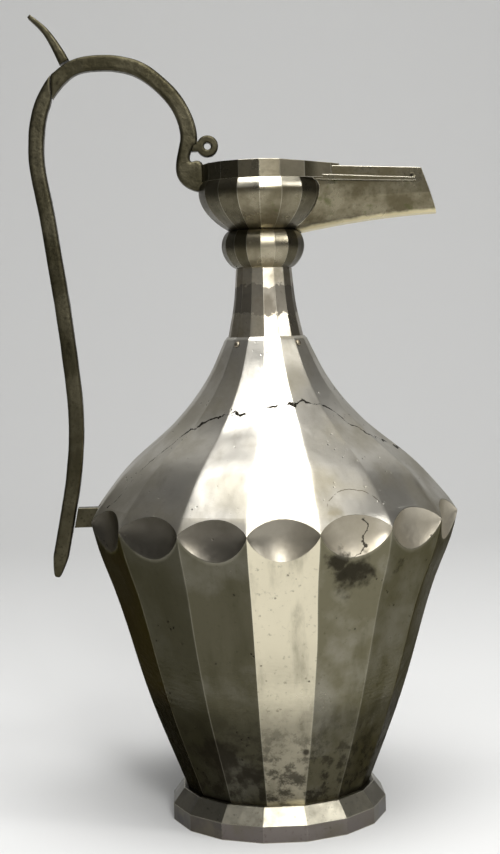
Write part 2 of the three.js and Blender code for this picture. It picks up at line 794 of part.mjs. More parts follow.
// Reach and height up the inner side of the bar's back
function barInnerLine() {
  const points = [];
  for (let station = 0; station <= BACK_STATIONS; station += 1) {
    const share = (SCARF_SHARE * station) / BACK_STATIONS;
    const along = barCurve.getTangentAt(share);
    const inward = new THREE.Vector3(along.z, 0, -along.x);
    const point = barCurve.getPointAt(share).addScaledVector(inward, barSize(share, 0).halfWidth);
    points.push(new THREE.Vector2(-point.x, point.z));
  }
  return points;
}

// Spans from the bar to the body, with its ends shaped to both
function lowerBracket() {
  const body = facingProfile();
  const bar = barInnerLine();
  const half = BRACKET_THICKNESS / 2;
  const rings = [];
  for (let row = 0; row <= BRACKET_ROWS; row += 1) {
    const z = CUSP_Z + BRACKET_RISE + BRACKET_HEIGHT * (row / BRACKET_ROWS - 0.5);
    const near = -radiusAt(body, z) - SEAT_GAP;
    const far = -radiusAt(bar, z) + SEAT_GAP;
    const corners = [[near, -half], [near, half], [far, half], [far, -half]];
    rings.push(corners.map(([x, y]) => new THREE.Vector3(x, y, z)));
  }
  return ringSolid(rings);
}

// Assembly

function piece(name, solid, metal) {
  const mesh = new THREE.Mesh(toGeometry(solid), new THREE.MeshStandardMaterial(metal));
  mesh.name = name;
  return mesh;
}

const vessel = new THREE.Group();
vessel.add(
  piece('foot_ring', footRing(), SILVER),
  piece('base_plate', basePlate(), SILVER),
  piece('lower_body', lowerBody(), SILVER),
  piece('shoulder', shoulder(), SILVER),
  piece('neck_tube', neckTube(), SILVER),
  piece('knop', knop(), BROWN_SILVER),
  piece('cup', cup(), BROWN_SILVER),
  piece('rim_collar', rimCollar(), BROWN_SILVER),
);

RIVET_FACETS.forEach((facet, index) => {
  const rivet = new THREE.Mesh(rivetGeometry(), new THREE.MeshStandardMaterial(SILVER));
  rivet.name = `neck_rivet_${index + 1}`;
  placeRivet(rivet, facet);
  vessel.add(rivet);
});

const spoutParts = new THREE.Group();
spoutParts.add(
  piece('spout', spout(), BROWN_SILVER),
  piece('spout_bead_near', spoutBead(-1), BROWN_SILVER),
  piece('spout_bead_far', spoutBead(1), BROWN_SILVER),
);

const handle = new THREE.Group();
handle.add(
  piece('handle_back', handleBack(), DARK_BRONZE),
  piece('handle_arch', handleArch(), DARK_BRONZE),
  piece('thumb_rest', thumbRest(), DARK_BRONZE),
  piece('hinge_eye', hingeEye(), DARK_BRONZE),
  piece('handle_heel', handleHeel(), DARK_BRONZE),
  piece('lower_bracket', lowerBracket(), DARK_BRONZE),
);

const ewer = new THREE.Group();
ewer.add(vessel, spoutParts, handle);

export default ewer;
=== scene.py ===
import math
import random
from functools import partial

import bpy
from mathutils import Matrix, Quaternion, Vector, noise

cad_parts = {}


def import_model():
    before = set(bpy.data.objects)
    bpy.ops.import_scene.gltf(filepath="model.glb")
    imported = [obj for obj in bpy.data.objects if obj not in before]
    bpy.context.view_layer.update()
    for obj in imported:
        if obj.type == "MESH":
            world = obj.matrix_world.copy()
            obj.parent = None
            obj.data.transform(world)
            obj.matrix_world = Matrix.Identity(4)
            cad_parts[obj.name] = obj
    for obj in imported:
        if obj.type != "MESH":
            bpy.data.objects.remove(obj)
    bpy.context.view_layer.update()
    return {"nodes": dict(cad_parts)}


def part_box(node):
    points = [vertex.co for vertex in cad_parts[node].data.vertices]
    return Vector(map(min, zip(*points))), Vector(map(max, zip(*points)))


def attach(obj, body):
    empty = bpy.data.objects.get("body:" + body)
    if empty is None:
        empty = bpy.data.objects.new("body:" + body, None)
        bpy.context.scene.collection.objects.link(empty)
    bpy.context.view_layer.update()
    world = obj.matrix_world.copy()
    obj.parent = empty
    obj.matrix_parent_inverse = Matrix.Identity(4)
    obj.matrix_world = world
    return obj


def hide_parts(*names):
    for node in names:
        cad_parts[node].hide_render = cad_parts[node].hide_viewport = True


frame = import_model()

# Sizes are in millimetres and become metres when a mesh is made
MM = 0.001
FACETS = 16
HEAD_FACETS = 18
HALF_FACET = math.pi / FACETS
WALL = 1.2
RIDGE_ROUNDING = 0.011
SHARP_ANGLE = math.radians(50)


def level(node, end):
    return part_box(node)[end].z / MM


FOOT_TOP = level("foot_ring", 1)
SHOULDER_Z = level("shoulder", 0)
LAP_Z = level("shoulder", 1)

# Lower body, shoulder and the lens-shaped hollows between them
GIRTH_RADIUS = 77.6
LENS_RISE = 6.3
LENS_DROP = 10.4
LENS_DEPTH = 1.1
LENS_ROUNDNESS = 0.72
LEAST_BOW = 0.012
SHOULDER_LIP = 0.5
CUSP_Z = SHOULDER_Z - LENS_RISE - SHOULDER_LIP
FLARE_RADIUS = 74.6
FLARE_DROP = 11.5
BODY_KEYS = [(FOOT_TOP, 39.6), (FOOT_TOP + 38.5, 54.3), (FOOT_TOP + 86.5, 68.3)]
SHOULDER_RADIUS = 73.2
SHOULDER_TOP_RADIUS = 16.9
SHOULDER_KEYS = [(15.6, 60.0), (32.7, 40.3), (49.7, 26.4)]
FEATHER = 0.5
FEATHER_HEIGHT = 1.2
BODY_TURN = math.radians(1.3)
HEAD_TURN = math.radians(6.2)
TWIST_LOW, TWIST_HIGH = 128, 212
CUP_TURN = math.radians(-4.9)
KNOP_TURN = math.radians(-6.4)
STRAY = math.radians(1.35)
STRAY_WAVES = 4
STRAY_START = math.radians(220)
STRAY_HEIGHTS = [80, 118, 140, 175]
RIDGE_WEAR_SHARE = 0.03
DENT_DEPTH = 0.22
DENT_SIZE = 26.0

# Knocks from use: degrees round the axis, radius and height, then push outwards and spread
KNOCKS = [
    (-12, 77, 128, 1.9, 22), (-43, 70, 140, -1.1, 6), (-30, 65, 146, 0.6, 3.5), (-42, 67, 99, -0.7, 9),
    (-113, 41, 168, -0.5, 5), (-58, 75, 128, -0.6, 4), (-151, 40, 168, -0.5, 5), (-66, 69, 119, -0.4, 6),
    (20, 60, 150, -0.8, 9), (95, 70, 105, -0.6, 10), (140, 50, 160, -0.7, 8), (60, 55, 52, -0.5, 8),
]

# Neck, knop, cup and collar; under the shoulder's lap the neck has keys of (drop, added radius), above it
# one of (rise, radius)
KNOP_Z = level("knop", 0)
CUP_Z = level("cup", 0)
RIM_Z = level("rim_collar", 0)
COLLAR_TOP_Z = level("rim_collar", 1)
NECK_LAP_RADIUS = 15.95
NECK_LAP_KEYS = [(7.8, 2.6), (3.9, 1.1)]
NECK_KEY = (13.6, 13.2)
NECK_TOP_RADIUS = 11.8
KNOP_RADIUS = 17.5
KNOP_TOP_RADIUS = 14.2
KNOP_FULLNESS = 0.6
CUP_RADIUS = 26.9
CUP_RIM_RADIUS = 25.2
CUP_WIDEST_SHARE = 0.78
CUP_FULLNESS = 0.9
LARGEST_INSET = 2.2
LEAST_STEP = 0.01
COLLAR_RADIUS = 25
COLLAR_DIP = 2
COLLAR_SHARES = [0, 0.04, 0.3, 0.6, 0.9, 0.97, 1]

# Hollow of the spout, which also opens the cup's side, and the collar's flare beside it
LIP_Z = COLLAR_TOP_Z - COLLAR_DIP
LIP_ROOT, LIP_REACH, LIP_FALL = 12, 66.7, 1.7
KEEL_ROOT, KEEL_REACH, KEEL_BULGE = 13.6, 73.7, 2.4
ROOT_HALF_WIDTH, TIP_HALF_WIDTH = 16, 7.5
ROOT_DEPTH, TIP_DEPTH = 28, 19
SPOUT_FULLNESS = 2.3
FLARE_START = math.radians(62)
FLARE_END = math.radians(20)
FLARE_REACH = 34
FLARE_SINK = 1.3
FLARE_BEND = Vector((27.8, 13.6))
CHANNEL_STATIONS = 16
CHANNEL_SIDES = 32
CHANNEL_OVERRUN = 12


def lerp(a, b, share):
    return a + (b - a) * share


def smoothstep(value, low, high):
    share = min(max((value - low) / (high - low), 0.0), 1.0)
    return share * share * (3 - 2 * share)


def spline(keys):
    """A smooth curve through (height, radius) keys: a radius for each height."""
    def slope(i):
        low, high = keys[max(i - 1, 0)], keys[min(i + 1, len(keys) - 1)]
        return (high[1] - low[1]) / (high[0] - low[0])

    def radius(z):
        z = min(max(z, keys[0][0]), keys[-1][0])
        i = next((n for n in range(1, len(keys)) if z <= keys[n][0]), len(keys) - 1)
        (z0, r0), (z1, r1) = keys[i - 1], keys[i]
        step = z1 - z0
        t = (z - z0) / step
        return (r0 * (1 + 2 * t) * (1 - t) ** 2 + step * slope(i - 1) * t * (1 - t) ** 2
                + r1 * t * t * (3 - 2 * t) + step * slope(i) * t * t * (t - 1))

    return radius


body_radius = spline(BODY_KEYS + [(CUSP_Z - FLARE_DROP, FLARE_RADIUS), (CUSP_Z, GIRTH_RADIUS)])
shoulder_radius = spline(
    [(CUSP_Z, GIRTH_RADIUS), (SHOULDER_Z, SHOULDER_RADIUS)]
    + [(SHOULDER_Z + rise, radius) for rise, radius in SHOULDER_KEYS]
    + [(LAP_Z, SHOULDER_TOP_RADIUS)]
)


def rounded_polygon(side, radius, sides):
    """Distance from the axis at a place across a facet of an outline with softened ridges."""
    half = math.pi / sides
    from_ridge = math.hypot(half * (1 - abs(side)), RIDGE_ROUNDING)
    return radius * math.cos(half) / math.cos(half - from_ridge)


# Places across one facet, from ridge (-1) to ridge (1), close together at the ridges
HALF_SIDES = [0.1, 0.3, 0.5, 0.68, 0.82, 0.9, 0.945, 0.975, 0.99]
FACET_SIDES = [-1] + [-side for side in reversed(HALF_SIDES)] + HALF_SIDES


def around(degrees, radius, z):
    """The place at an angle round the axis, a radius and a height."""
    turn = math.radians(degrees)
    return Vector((radius * math.cos(turn), radius * math.sin(turn), z))


def dent(point):
    """How far hammering and knocks push the skin outwards at a place."""
    push = DENT_DEPTH * noise.noise(point / DENT_SIZE, noise_basis="PERLIN_ORIGINAL")
    for degrees, radius, z, depth, spread in KNOCKS:
        away = (point - around(degrees, radius, z)).length / spread
        push += depth * math.exp(-away * away / 2)
    return push


def stray(angle, z):
    """How far the ridges stray from even spacing round the girth, as handwork does."""
    low, lower, higher, high = STRAY_HEIGHTS
    here = smoothstep(z, low, lower) * (1 - smoothstep(z, higher, high))
    return STRAY * math.sin(STRAY_WAVES * angle + STRAY_START) * here


def twist(z):
    """The facets wind slightly round the axis between the girth and the neck."""
    return lerp(BODY_TURN, HEAD_TURN, smoothstep(z, TWIST_LOW, TWIST_HIGH))


def facet_angle(facet, z, sides, turn):
    """Direction in which a facet faces; without a turn of its own it follows the body's twist."""
    return facet * 2 * math.pi / sides + (twist(z) if turn is None else turn)


def skin_point(facet, side, z, radius, sink, sides, turn):
    """The place on the outer skin at a side of a facet, with its dents and its hollow's depth."""
    centre = facet_angle(facet, z, sides, turn)
    angle = centre + side * math.pi / sides
    if turn is None:
        angle += stray(angle, z)
    reach = rounded_polygon(side, radius, sides)
    point = Vector((reach * math.cos(angle), reach * math.sin(angle), z))
    push = dent(point) - sink
    return point + Vector((push * math.cos(centre), push * math.sin(centre), 0))


def lens_bow(side):
    """Share of a hollow's full height at a place across its facet."""
    return max(1 - side * side, LEAST_BOW) ** LENS_ROUNDNESS


def plain_rows(count):
    return [(row / count, 0) for row in range(1, count)]


# Rows below, inside and above the hollows: share of the way up, and how much rubbing the row shows
BELOW_ROWS = [(0, 0), (0.01, 0), (0.04, 0)] + plain_rows(22) + [(0.985, 0), (0.996, 0.6)]
INSIDE_ROWS = [(0, 1), (0.02, 0.5), (0.05, 0)] + plain_rows(14) + [(0.96, 0), (0.985, 0.3), (1, 0.7)]
ABOVE_ROWS = [(0.04, 0.3), (0.1, 0), (0.25, 0), (0.4, 0), (0.55, 0), (0.7, 0), (0.85, 0), (1, 0)]


def body_rows():
    """Rows up the lower body; each gives (height, radius, sink, wear, hollow, upper) across a facet."""
    zones = (below_lens, BELOW_ROWS), (inside_lens, INSIDE_ROWS), (above_lens, ABOVE_ROWS)
    return [partial(zone, share=share, wear=wear) for zone, rows in zones for share, wear in rows]


def below_lens(side, share, wear):
    z = lerp(FOOT_TOP, CUSP_Z - LENS_DROP * lens_bow(side), share)
    return z, body_radius(z), 0, wear, 0, 0


def inside_lens(side, share, wear):
    bow = lens_bow(side)
    low, high = CUSP_Z - LENS_DROP * bow, CUSP_Z + LENS_RISE * bow
    radius = lerp(body_radius(low), shoulder_radius(high), share)
    sink = LENS_DEPTH * bow * 4 * share * (1 - share)
    return lerp(low, high, share), radius, sink, wear, float(0 < share < 1), 0


def above_lens(side, share, wear):
    z = lerp(CUSP_Z + LENS_RISE * lens_bow(side), SHOULDER_Z, share)
    return z, shoulder_radius(z), 0, wear, 0, 1


SHOULDER_SHARES = [0, 0.003] + [row / 44 for row in range(1, 44)] + [0.983, 0.99, 0.996, 1]


def shoulder_rows():
    """Rows up the shoulder, feathered to a thin edge where it laps over the neck."""
    keys = []
    for share in SHOULDER_SHARES:
        z = lerp(SHOULDER_Z, LAP_Z, share)
        keys.append((z, shoulder_radius(z) - FEATHER * smoothstep(z, LAP_Z - FEATHER_HEIGHT, LAP_Z)))
    return key_rows(keys)


def ridge_wear(side):
    return max(0.0, 1 - (1 - abs(side)) / RIDGE_WEAR_SHARE)


def sheet_mesh(name, rows, wall, sides=FACETS, turn=None):
    """A closed sheet-metal shell: the rows' outer skin, an inner skin, and a rim at either end."""
    columns = [(facet, side) for facet in range(sides) for side in FACET_SIDES]
    chance = random.Random(name)
    tones = [chance.random() for _ in range(sides)]
    outer, inner = [], []
    marks = {"wear": [], "hollow": [], "upper": [], "tone": [], "facing_x": [], "facing_y": []}
    walls = wall if isinstance(wall, list) else [wall] * len(rows)
    for row, thickness in zip(rows, walls):
        for facet, side in columns:
            z, radius, sink, wear, hollow, upper = row(side)
            point = skin_point(facet, side, z, radius, sink, sides, turn)
            outer.append(point)
            ahead = facet_angle(facet, z, sides, turn)
            wear = max(wear, ridge_wear(side))
            values = wear, hollow, upper, tones[facet], math.cos(ahead), math.sin(ahead)
            for mark, value in zip(marks.values(), values):
                mark.append(value)
            reach = math.hypot(point.x, point.y)
            share = (reach - thickness) / reach
            inner.append(Vector((point.x * share, point.y * share, z)))
    width = len(columns)
    count = len(outer)
    skin = ring_faces(len(rows), width)
    lining = turned_over(skin, count)
    rims = []
    last = count - width
    for column in range(width):
        after = (column + 1) % width
        rims.append((column, count + column, count + after, after))
        rims.append((last + column, last + after, count + last + after, count + last + column))
    thing = make_object(name, outer + inner, skin + lining + rims)
    thing.data.set_sharp_from_angle(angle=SHARP_ANGLE)
    for label, values in marks.items():
        attribute = thing.data.attributes.new(label, "FLOAT", "POINT")
        hidden = [0.0] * count if label in ("wear", "hollow", "upper") else values
        attribute.data.foreach_set("value", values + hidden)
    return thing


def ring_faces(rings, width):
    """Faces between rings of points that follow one another, each ring with the same number of points."""
    faces = []
    for ring in range(rings - 1):
        for i in range(width):
            a, b = ring * width + i, ring * width + (i + 1) % width
            faces.append((a, b, b + width, a + width))
    return faces


def turned_over(faces, start=0):
    """The same faces seen from their other side, on points counted from start."""
    return [(start + a, start + d, start + c, start + b) for a, b, c, d in faces]


def add_object(name, data):
    thing = bpy.data.objects.new(name, data)
    bpy.context.scene.collection.objects.link(thing)
    return thing


def make_object(name, points, faces):
    mesh = bpy.data.meshes.new(name)
    mesh.from_pydata([tuple(point * MM) for point in points], [], faces)
    mesh.validate()
    mesh.update()
    mesh.shade_smooth()
    return add_object(name, mesh)


def coat(thing, material):
    thing.data.materials.clear()
    thing.data.materials.append(material)


def add_piece(thing, slot_name, material, *nodes):
    coat(thing, material)
    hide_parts(*nodes)
    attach(thing, "root")


def steep_walls(keys, wall):
    """Wall measured square to the profile, as a radial distance for each (height, radius) row."""
    walls = []
    for row in range(len(keys)):
        (z0, r0), (z1, r1) = keys[max(row - 1, 0)], keys[min(row + 1, len(keys) - 1)]
        walls.append(wall * min(math.hypot(1, (r1 - r0) / max(z1 - z0, LEAST_STEP)), LARGEST_INSET))
    return walls


def knop_keys(count=30):
    keys = []
    top = level("knop", 1)
    bulge = KNOP_RADIUS - (NECK_TOP_RADIUS + KNOP_TOP_RADIUS) / 2
    for row in range(count + 1):
        share = (1 - math.cos(math.pi * row / count)) / 2
        swell = bulge * max(math.sin(math.pi * share), 0) ** KNOP_FULLNESS
        keys.append((lerp(KNOP_Z, top, share), lerp(NECK_TOP_RADIUS, KNOP_TOP_RADIUS, share) + swell))
    return keys


def cup_keys(count=40):
    keys = []
    for row in range(count + 1):
        share = 1 - math.cos(math.pi * row / (2 * count))
        climb = min(share / CUP_WIDEST_SHARE, 1)
        turn = max((share - CUP_WIDEST_SHARE) / (1 - CUP_WIDEST_SHARE), 0)
        radius = lerp(KNOP_TOP_RADIUS, CUP_RADIUS, (1 - (1 - climb) ** 2) ** CUP_FULLNESS)
        keys.append((lerp(CUP_Z, RIM_Z, share), radius - (CUP_RADIUS - CUP_RIM_RADIUS) * turn ** 2))
    return keys


def neck_keys(count=24):
    """The neck tube, from inside the shoulder's lap up to the knop."""
    rise, radius = NECK_KEY
    curve = spline([(LAP_Z, NECK_LAP_RADIUS), (LAP_Z + rise, radius), (KNOP_Z, NECK_TOP_RADIUS)])
    keys = [(LAP_Z - drop, NECK_LAP_RADIUS + spread) for drop, spread in NECK_LAP_KEYS]
    for row in range(count + 1):
        z = lerp(LAP_Z, KNOP_Z, row / count)
        keys.append((z, curve(z)))
    return keys


def shape_rim(thing):
    """Lowers the collar's top edge towards the spout, and flares its sides to meet the spout's sides."""
    height = COLLAR_TOP_Z - RIM_Z
    start = Vector((COLLAR_RADIUS * math.cos(FLARE_START), COLLAR_RADIUS * math.sin(FLARE_START)))
    end = Vector((FLARE_REACH, spout_half_width(FLARE_REACH) - FLARE_SINK))
    for vertex in thing.data.vertices:
        x, y, z = vertex.co / MM
        reach, turn = math.hypot(x, y), abs(math.atan2(y, x))
        lift = (z - RIM_Z) / height
        vertex.co.z -= COLLAR_DIP * max(x / reach, 0) ** 2 * lift * MM
        if turn >= FLARE_START:
            continue
        share = min((FLARE_START - turn) / (FLARE_START - FLARE_END), 1)
        place = start.lerp(FLARE_BEND, share).lerp(FLARE_BEND.lerp(end, share), share)
        if turn < FLARE_END:
            place.y *= turn / FLARE_END
        place *= reach / COLLAR_RADIUS
        vertex.co.x, vertex.co.y = place.x * MM, math.copysign(place.y, y) * MM


def spout_half_width(x):
    return lerp(ROOT_HALF_WIDTH, TIP_HALF_WIDTH, (x - LIP_ROOT) / (LIP_REACH - LIP_ROOT))


def key_rows(keys):
    return [lambda side, z=z, radius=radius: (z, radius, 0, 0, 0, 0) for z, radius in keys]


def bent(start, middle, end, share):
    """A value that goes from start to end and is drawn towards middle on its way."""
    return (1 - share) ** 2 * start + 2 * share * (1 - share) * middle + share ** 2 * end


def channel_section(share):
    """Points round the section of the spout's hollow at a share of its length, open to well above the rim."""
    depth = (ROOT_DEPTH + TIP_DEPTH + LIP_FALL) / 2
    keel_x = bent(KEEL_ROOT, (KEEL_ROOT + KEEL_REACH) / 2, KEEL_REACH, share)
    keel_z = bent(LIP_Z - ROOT_DEPTH, LIP_Z - depth + KEEL_BULGE, LIP_Z - LIP_FALL - TIP_DEPTH, share) + WALL
    lip_x, lip_z = lerp(LIP_ROOT, LIP_REACH, share), LIP_Z - LIP_FALL * share
    half_width = lerp(ROOT_HALF_WIDTH, TIP_HALF_WIDTH, share) - WALL
    ring = []
    for side in range(CHANNEL_SIDES + 1):
        angle = math.pi * side / CHANNEL_SIDES
        down = max(math.sin(angle), 0) ** (2 / SPOUT_FULLNESS)
        across = math.copysign(abs(math.cos(angle)) ** (2 / SPOUT_FULLNESS), math.cos(angle))
        ring.append(Vector((lerp(lip_x, keel_x, down), half_width * across, lerp(lip_z, keel_z, down))))
    for point in (ring[-1], ring[0]):
        ring.append(Vector((point.x, point.y, COLLAR_TOP_Z + CHANNEL_OVERRUN)))
    return ring


def channel_cutter():
    rings = [channel_section(station / CHANNEL_STATIONS) for station in range(CHANNEL_STATIONS + 2)]
    width = len(rings[0])
    points = [point for ring in rings for point in ring]
    ends = [tuple(range(width)), tuple(reversed(range(len(points) - width, len(points))))]
    sides = turned_over(ring_faces(len(rings), width))
    return make_object("channel_cutter", points, ends + sides)


def cut_away(thing, cutter):
    """Cuts one mesh out of another and keeps the result as a plain mesh."""
    modifier = thing.modifiers.new("cut", "BOOLEAN")
    modifier.object = cutter
    modifier.operation = "DIFFERENCE"
    modifier.solver = "EXACT"
    keep_modifiers(thing)
    bpy.data.objects.remove(cutter)


# Middle of the handle's bar from tail to heel: reach from the axis, and height
BAR_LINE = [
    (91.9, 104.9), (87.2, 127), (82.7, 152), (81.5, 174), (84.4, 210), (90, 254), (94.1, 285), (89.8, 306),
    (78.5, 318.4), (65, 320.6), (51.5, 318.2), (40.2, 310), (33.2, 300.5), (30.1, 290), (31.3, 281),
]
THUMB_LINE = [(95, 340.4), (88.7, 334.5), (84, 327.2), (80.2, 319.6)]
THUMB_HALF_WIDTHS = 0.85, 2.6
THUMB_HALF_THICKNESS = 2.9
THUMB_END = 0.93
BAR_HALF_WIDTH = 3.4
BAR_HALF_THICKNESS = 3.2
BAR_CHAMFER = 1.1
LARGEST_CHAMFER_SHARE = 0.45
TAIL_LENGTH = 9
TAIL_HALF_WIDTH = 0.7
TAIL_THICKNESS_SHARE = 0.5
HEEL_GROWTH = 24
HEEL_HALF_WIDTH = 3.9
SCARF_SHARE = 0.71
SCARF_LEAN = 0.9
SCARF_LENGTH = 9
SCARF_GAP_SHARE = 0.0011
LINE_STEPS = 40
CORNER_STEPS = 3
BACK_STEPS, ARCH_STEPS, THUMB_STEPS = 150, 90, 30
TAIL_PARTS = 0.08, 0.25, 0.5, 0.75


def smooth_line(line):
    """Points closely spaced along a centripetal Catmull-Rom curve through a line of (reach, height)."""
    keys = [Vector((-reach, 0, z)) for reach, z in line]
    keys = [2 * keys[0] - keys[1]] + keys + [2 * keys[-1] - keys[-2]]
    points = []
    for i in range(1, len(keys) - 2):
        p0, p1, p2, p3 = keys[i - 1:i + 3]
        times = [0.0]
        for a, b in ((p0, p1), (p1, p2), (p2, p3)):
            times.append(times[-1] + math.sqrt((b - a).length))
        t0, t1, t2, t3 = times
        for step in range(LINE_STEPS):
            t = t1 + (t2 - t1) * step / LINE_STEPS
            a1 = p0.lerp(p1, (t - t0) / (t1 - t0))
            a2 = p1.lerp(p2, (t - t1) / (t2 - t1))
            a3 = p2.lerp(p3, (t - t2) / (t3 - t2))
            b1 = a1.lerp(a2, (t - t0) / (t2 - t0))
            b2 = a2.lerp(a3, (t - t1) / (t3 - t1))
            points.append(b1.lerp(b2, (t - t1) / (t2 - t1)))
    points.append(keys[-2])
    return points


def at_shares(points, shares):
    """(place, direction) at shares of the length of a line of points."""
    lengths = [0.0]
    for a, b in zip(points, points[1:]):
        lengths.append(lengths[-1] + (b - a).length)
    found = []
    for share in shares:
        goal = share * lengths[-1]
        i = max(next((n for n in range(1, len(points)) if lengths[n] >= goal), len(points) - 1), 1)
        part = (goal - lengths[i - 1]) / (lengths[i] - lengths[i - 1])
        low, high = points[max(i - 3, 0)], points[min(i + 2, len(points) - 1)]
        found.append((points[i - 1].lerp(points[i], part), (high - low).normalized()))
    return found, lengths[-1]


def bar_outline(half_width, half_depth, chamfer):
    """Points round a rounded bar's section, as (across, depth)."""
    ring = []
    for sign_x, sign_y, start in ((1, 1, 0), (-1, 1, 1), (-1, -1, 2), (1, -1, 3)):
        for step in range(CORNER_STEPS + 1):
            angle = (start + step / CORNER_STEPS) * math.pi / 2
            x = sign_x * (half_width - chamfer) + chamfer * math.cos(angle)
            y = sign_y * (half_depth - chamfer) + chamfer * math.sin(angle)
            ring.append((x, y))
        corner = ring[-1]
        if start in (0, 2):
            ring += [(corner[0] * share, corner[1]) for share in (0.5, 0, -0.5)]
        else:
            ring += [(corner[0], corner[1] * share) for share in (0.5, -0.5)]
    return ring


def bar_mesh(name, line, shares, size):
    """Sweeps the bar's section along a line; size gives (half width, half depth, lean) at each share."""
    found, _ = at_shares(line, shares)
    points = []
    for (centre, along), share in zip(found, shares):
        half_width, half_depth, lean = size(share)
        across = Vector((-along.z, 0, along.x))
        tilted = across * math.cos(lean) + along * math.sin(lean)
        chamfer = min(BAR_CHAMFER, LARGEST_CHAMFER_SHARE * min(half_width, half_depth))
        for x, y in bar_outline(half_width, half_depth, chamfer):
            point = centre + tilted * (x / math.cos(lean))
            outward = (across * x + Vector((0, y, 0))).normalized()
            points.append(Vector((point.x, y, point.z)) + outward * forging(point.x, y, point.z))
    width = len(points) // len(shares)
    faces = ring_faces(len(shares), width)
    ends = [tuple(reversed(range(width))), tuple(range(len(points) - width, len(points)))]
    thing = make_object(name, points, faces + ends)
    for polygon in thing.data.polygons[len(faces):]:
        polygon.use_smooth = False
    return thing


# Unevenness of the forged bar: depth, stretch across the bar, and size of the marks
FORGE_MARKS = [(0.16, 2, 9), (0.06, 3, 2.7)]
FORGE_DEPTH = 0.2


def forging(x, y, z):
    """Small unevenness that the hammer leaves on the bar, inwards for the most part."""
    marks = [depth * noise.noise(Vector((x, y * stretch, z)) / size) for depth, stretch, size in FORGE_MARKS]
    return sum(marks) - FORGE_DEPTH


# The heel on the cup's edge, and the eye with its stem: places in the plane of the handle
HEEL_OUTLINE = [
    (-32.7, 295), (-33.2, 290), (-34.5, 284.5), (-35.9, 278.5), (-35.9, 273.5), (-33.6, 269.5), (-29.8, 267),
    (-25.6, 265.8),
    (-24.2, 268), (-24.2, 275.5), (-24.4, 278.2), (-27, 279.6), (-29.9, 278.4), (-29.9, 281.5), (-28.6, 284),
    (-27.2, 287.6), (-28.6, 295),
]
HEEL_HALF_THICKNESS = 3.0
EYE_CENTRE = (-22.4, 285.1)
EYE_RADIUS = 4.5
EYE_HOLE_RADIUS = 1.45
EYE_HALF_THICKNESS = 2.6
EYE_STEM = [(-29, 283), (-29, 287.6)]
EYE_EDGE = 0.6
EYE_SIDES = 48
EYE_HOLE_END = 352
HEEL_START = 0.982
VOXEL = 0.33
SOFTEN_STRENGTH = 0.5
SOFTEN_PASSES = 16


def rounded(points, passes=3):
    """Rounds a closed outline by cutting its corners again and again."""
    points = [Vector(point) for point in points]
    for _ in range(passes):
        ahead = points[1:] + points[:1]
        points = [a.lerp(b, share) for a, b in zip(points, ahead) for share in (0.25, 0.75)]
    return points


def arc(centre, radius, start, end, count):
    turns = [math.radians(lerp(start, end, i / count)) for i in range(count + 1)]
    return [(centre[0] + radius * math.cos(turn), centre[1] + radius * math.sin(turn)) for turn in turns]


def forged_plate(name, outlines, half_thickness, edge):
    """A plate with rounded edges in the plane of the handle; the outlines after the first are holes."""
    curve = bpy.data.curves.new(name, "CURVE")
    curve.dimensions = "2D"
    curve.fill_mode = "BOTH"
    curve.extrude = (half_thickness - edge) * MM
    curve.bevel_depth = edge * MM
    curve.bevel_resolution = 3
    curve.offset = -edge * MM
    for outline in outlines:
        line = curve.splines.new("POLY")
        line.points.add(len(outline) - 1)
        for point, (x, z) in zip(line.points, outline):
            point.co = (x * MM, z * MM, 0, 1)
        line.use_cyclic_u = True
    flat = bpy.data.objects.new(name, curve)
    mesh = bpy.data.meshes.new_from_object(flat)
    bpy.data.objects.remove(flat)
    for vertex in mesh.vertices:
        x, z, depth = vertex.co
        vertex.co = (x, -depth, z)
    mesh.shade_smooth()
    return add_object(name, mesh)


def forge_together(thing, other):
    """Melts two overlapping solids into one with a soft join."""
    join = bpy.data.meshes.new(thing.name)
    vertices = [vertex.co for vertex in thing.data.vertices] + [vertex.co for vertex in other.data.vertices]
    shift = len(thing.data.vertices)
    faces = [tuple(polygon.vertices) for polygon in thing.data.polygons]
    faces += [tuple(shift + v for v in polygon.vertices) for polygon in other.data.polygons]
    join.from_pydata([tuple(co) for co in vertices], [], faces)
    thing.data = join
    bpy.data.objects.remove(other)
    remesh = thing.modifiers.new("melt", "REMESH")
    remesh.mode = "VOXEL"
    remesh.voxel_size = VOXEL * MM
    remesh.use_smooth_shade = True
    soften = thing.modifiers.new("soften", "SMOOTH")
    soften.factor = SOFTEN_STRENGTH
    soften.iterations = SOFTEN_PASSES
    keep_modifiers(thing)


def keep_modifiers(thing):
    """Replaces the mesh by what its modifiers make of it."""
    graph = bpy.context.evaluated_depsgraph_get()
    done = bpy.data.meshes.new_from_object(thing.evaluated_get(graph))
    thing.modifiers.clear()
    thing.data = done


def bar_size(share, length):
    """Half width, half thickness and lean of the bar's section at a share of its length."""
    from_tail = min(max(share * length / TAIL_LENGTH, 0), 1)
    to_heel = smoothstep(share * length, length - HEEL_GROWTH, length)
    taper = math.sqrt(from_tail)
    half_width = lerp(TAIL_HALF_WIDTH, BAR_HALF_WIDTH, taper) + (HEEL_HALF_WIDTH - BAR_HALF_WIDTH) * to_heel
    near_scarf = 1 - smoothstep(abs(share - SCARF_SHARE) * length, 0, SCARF_LENGTH)
    return half_width, BAR_HALF_THICKNESS * lerp(TAIL_THICKNESS_SHARE, 1, taper), SCARF_LEAN * near_scarf


def spaced(low, high, count, tight_start=False):
    shares = [lerp(low, high, i / count) for i in range(count + 1)]
    if tight_start:
        shares[1:1] = [lerp(low, shares[1], part) for part in TAIL_PARTS]
    return shares


def thumb_size(share):
    return lerp(*THUMB_HALF_WIDTHS, share), THUMB_HALF_THICKNESS, 0


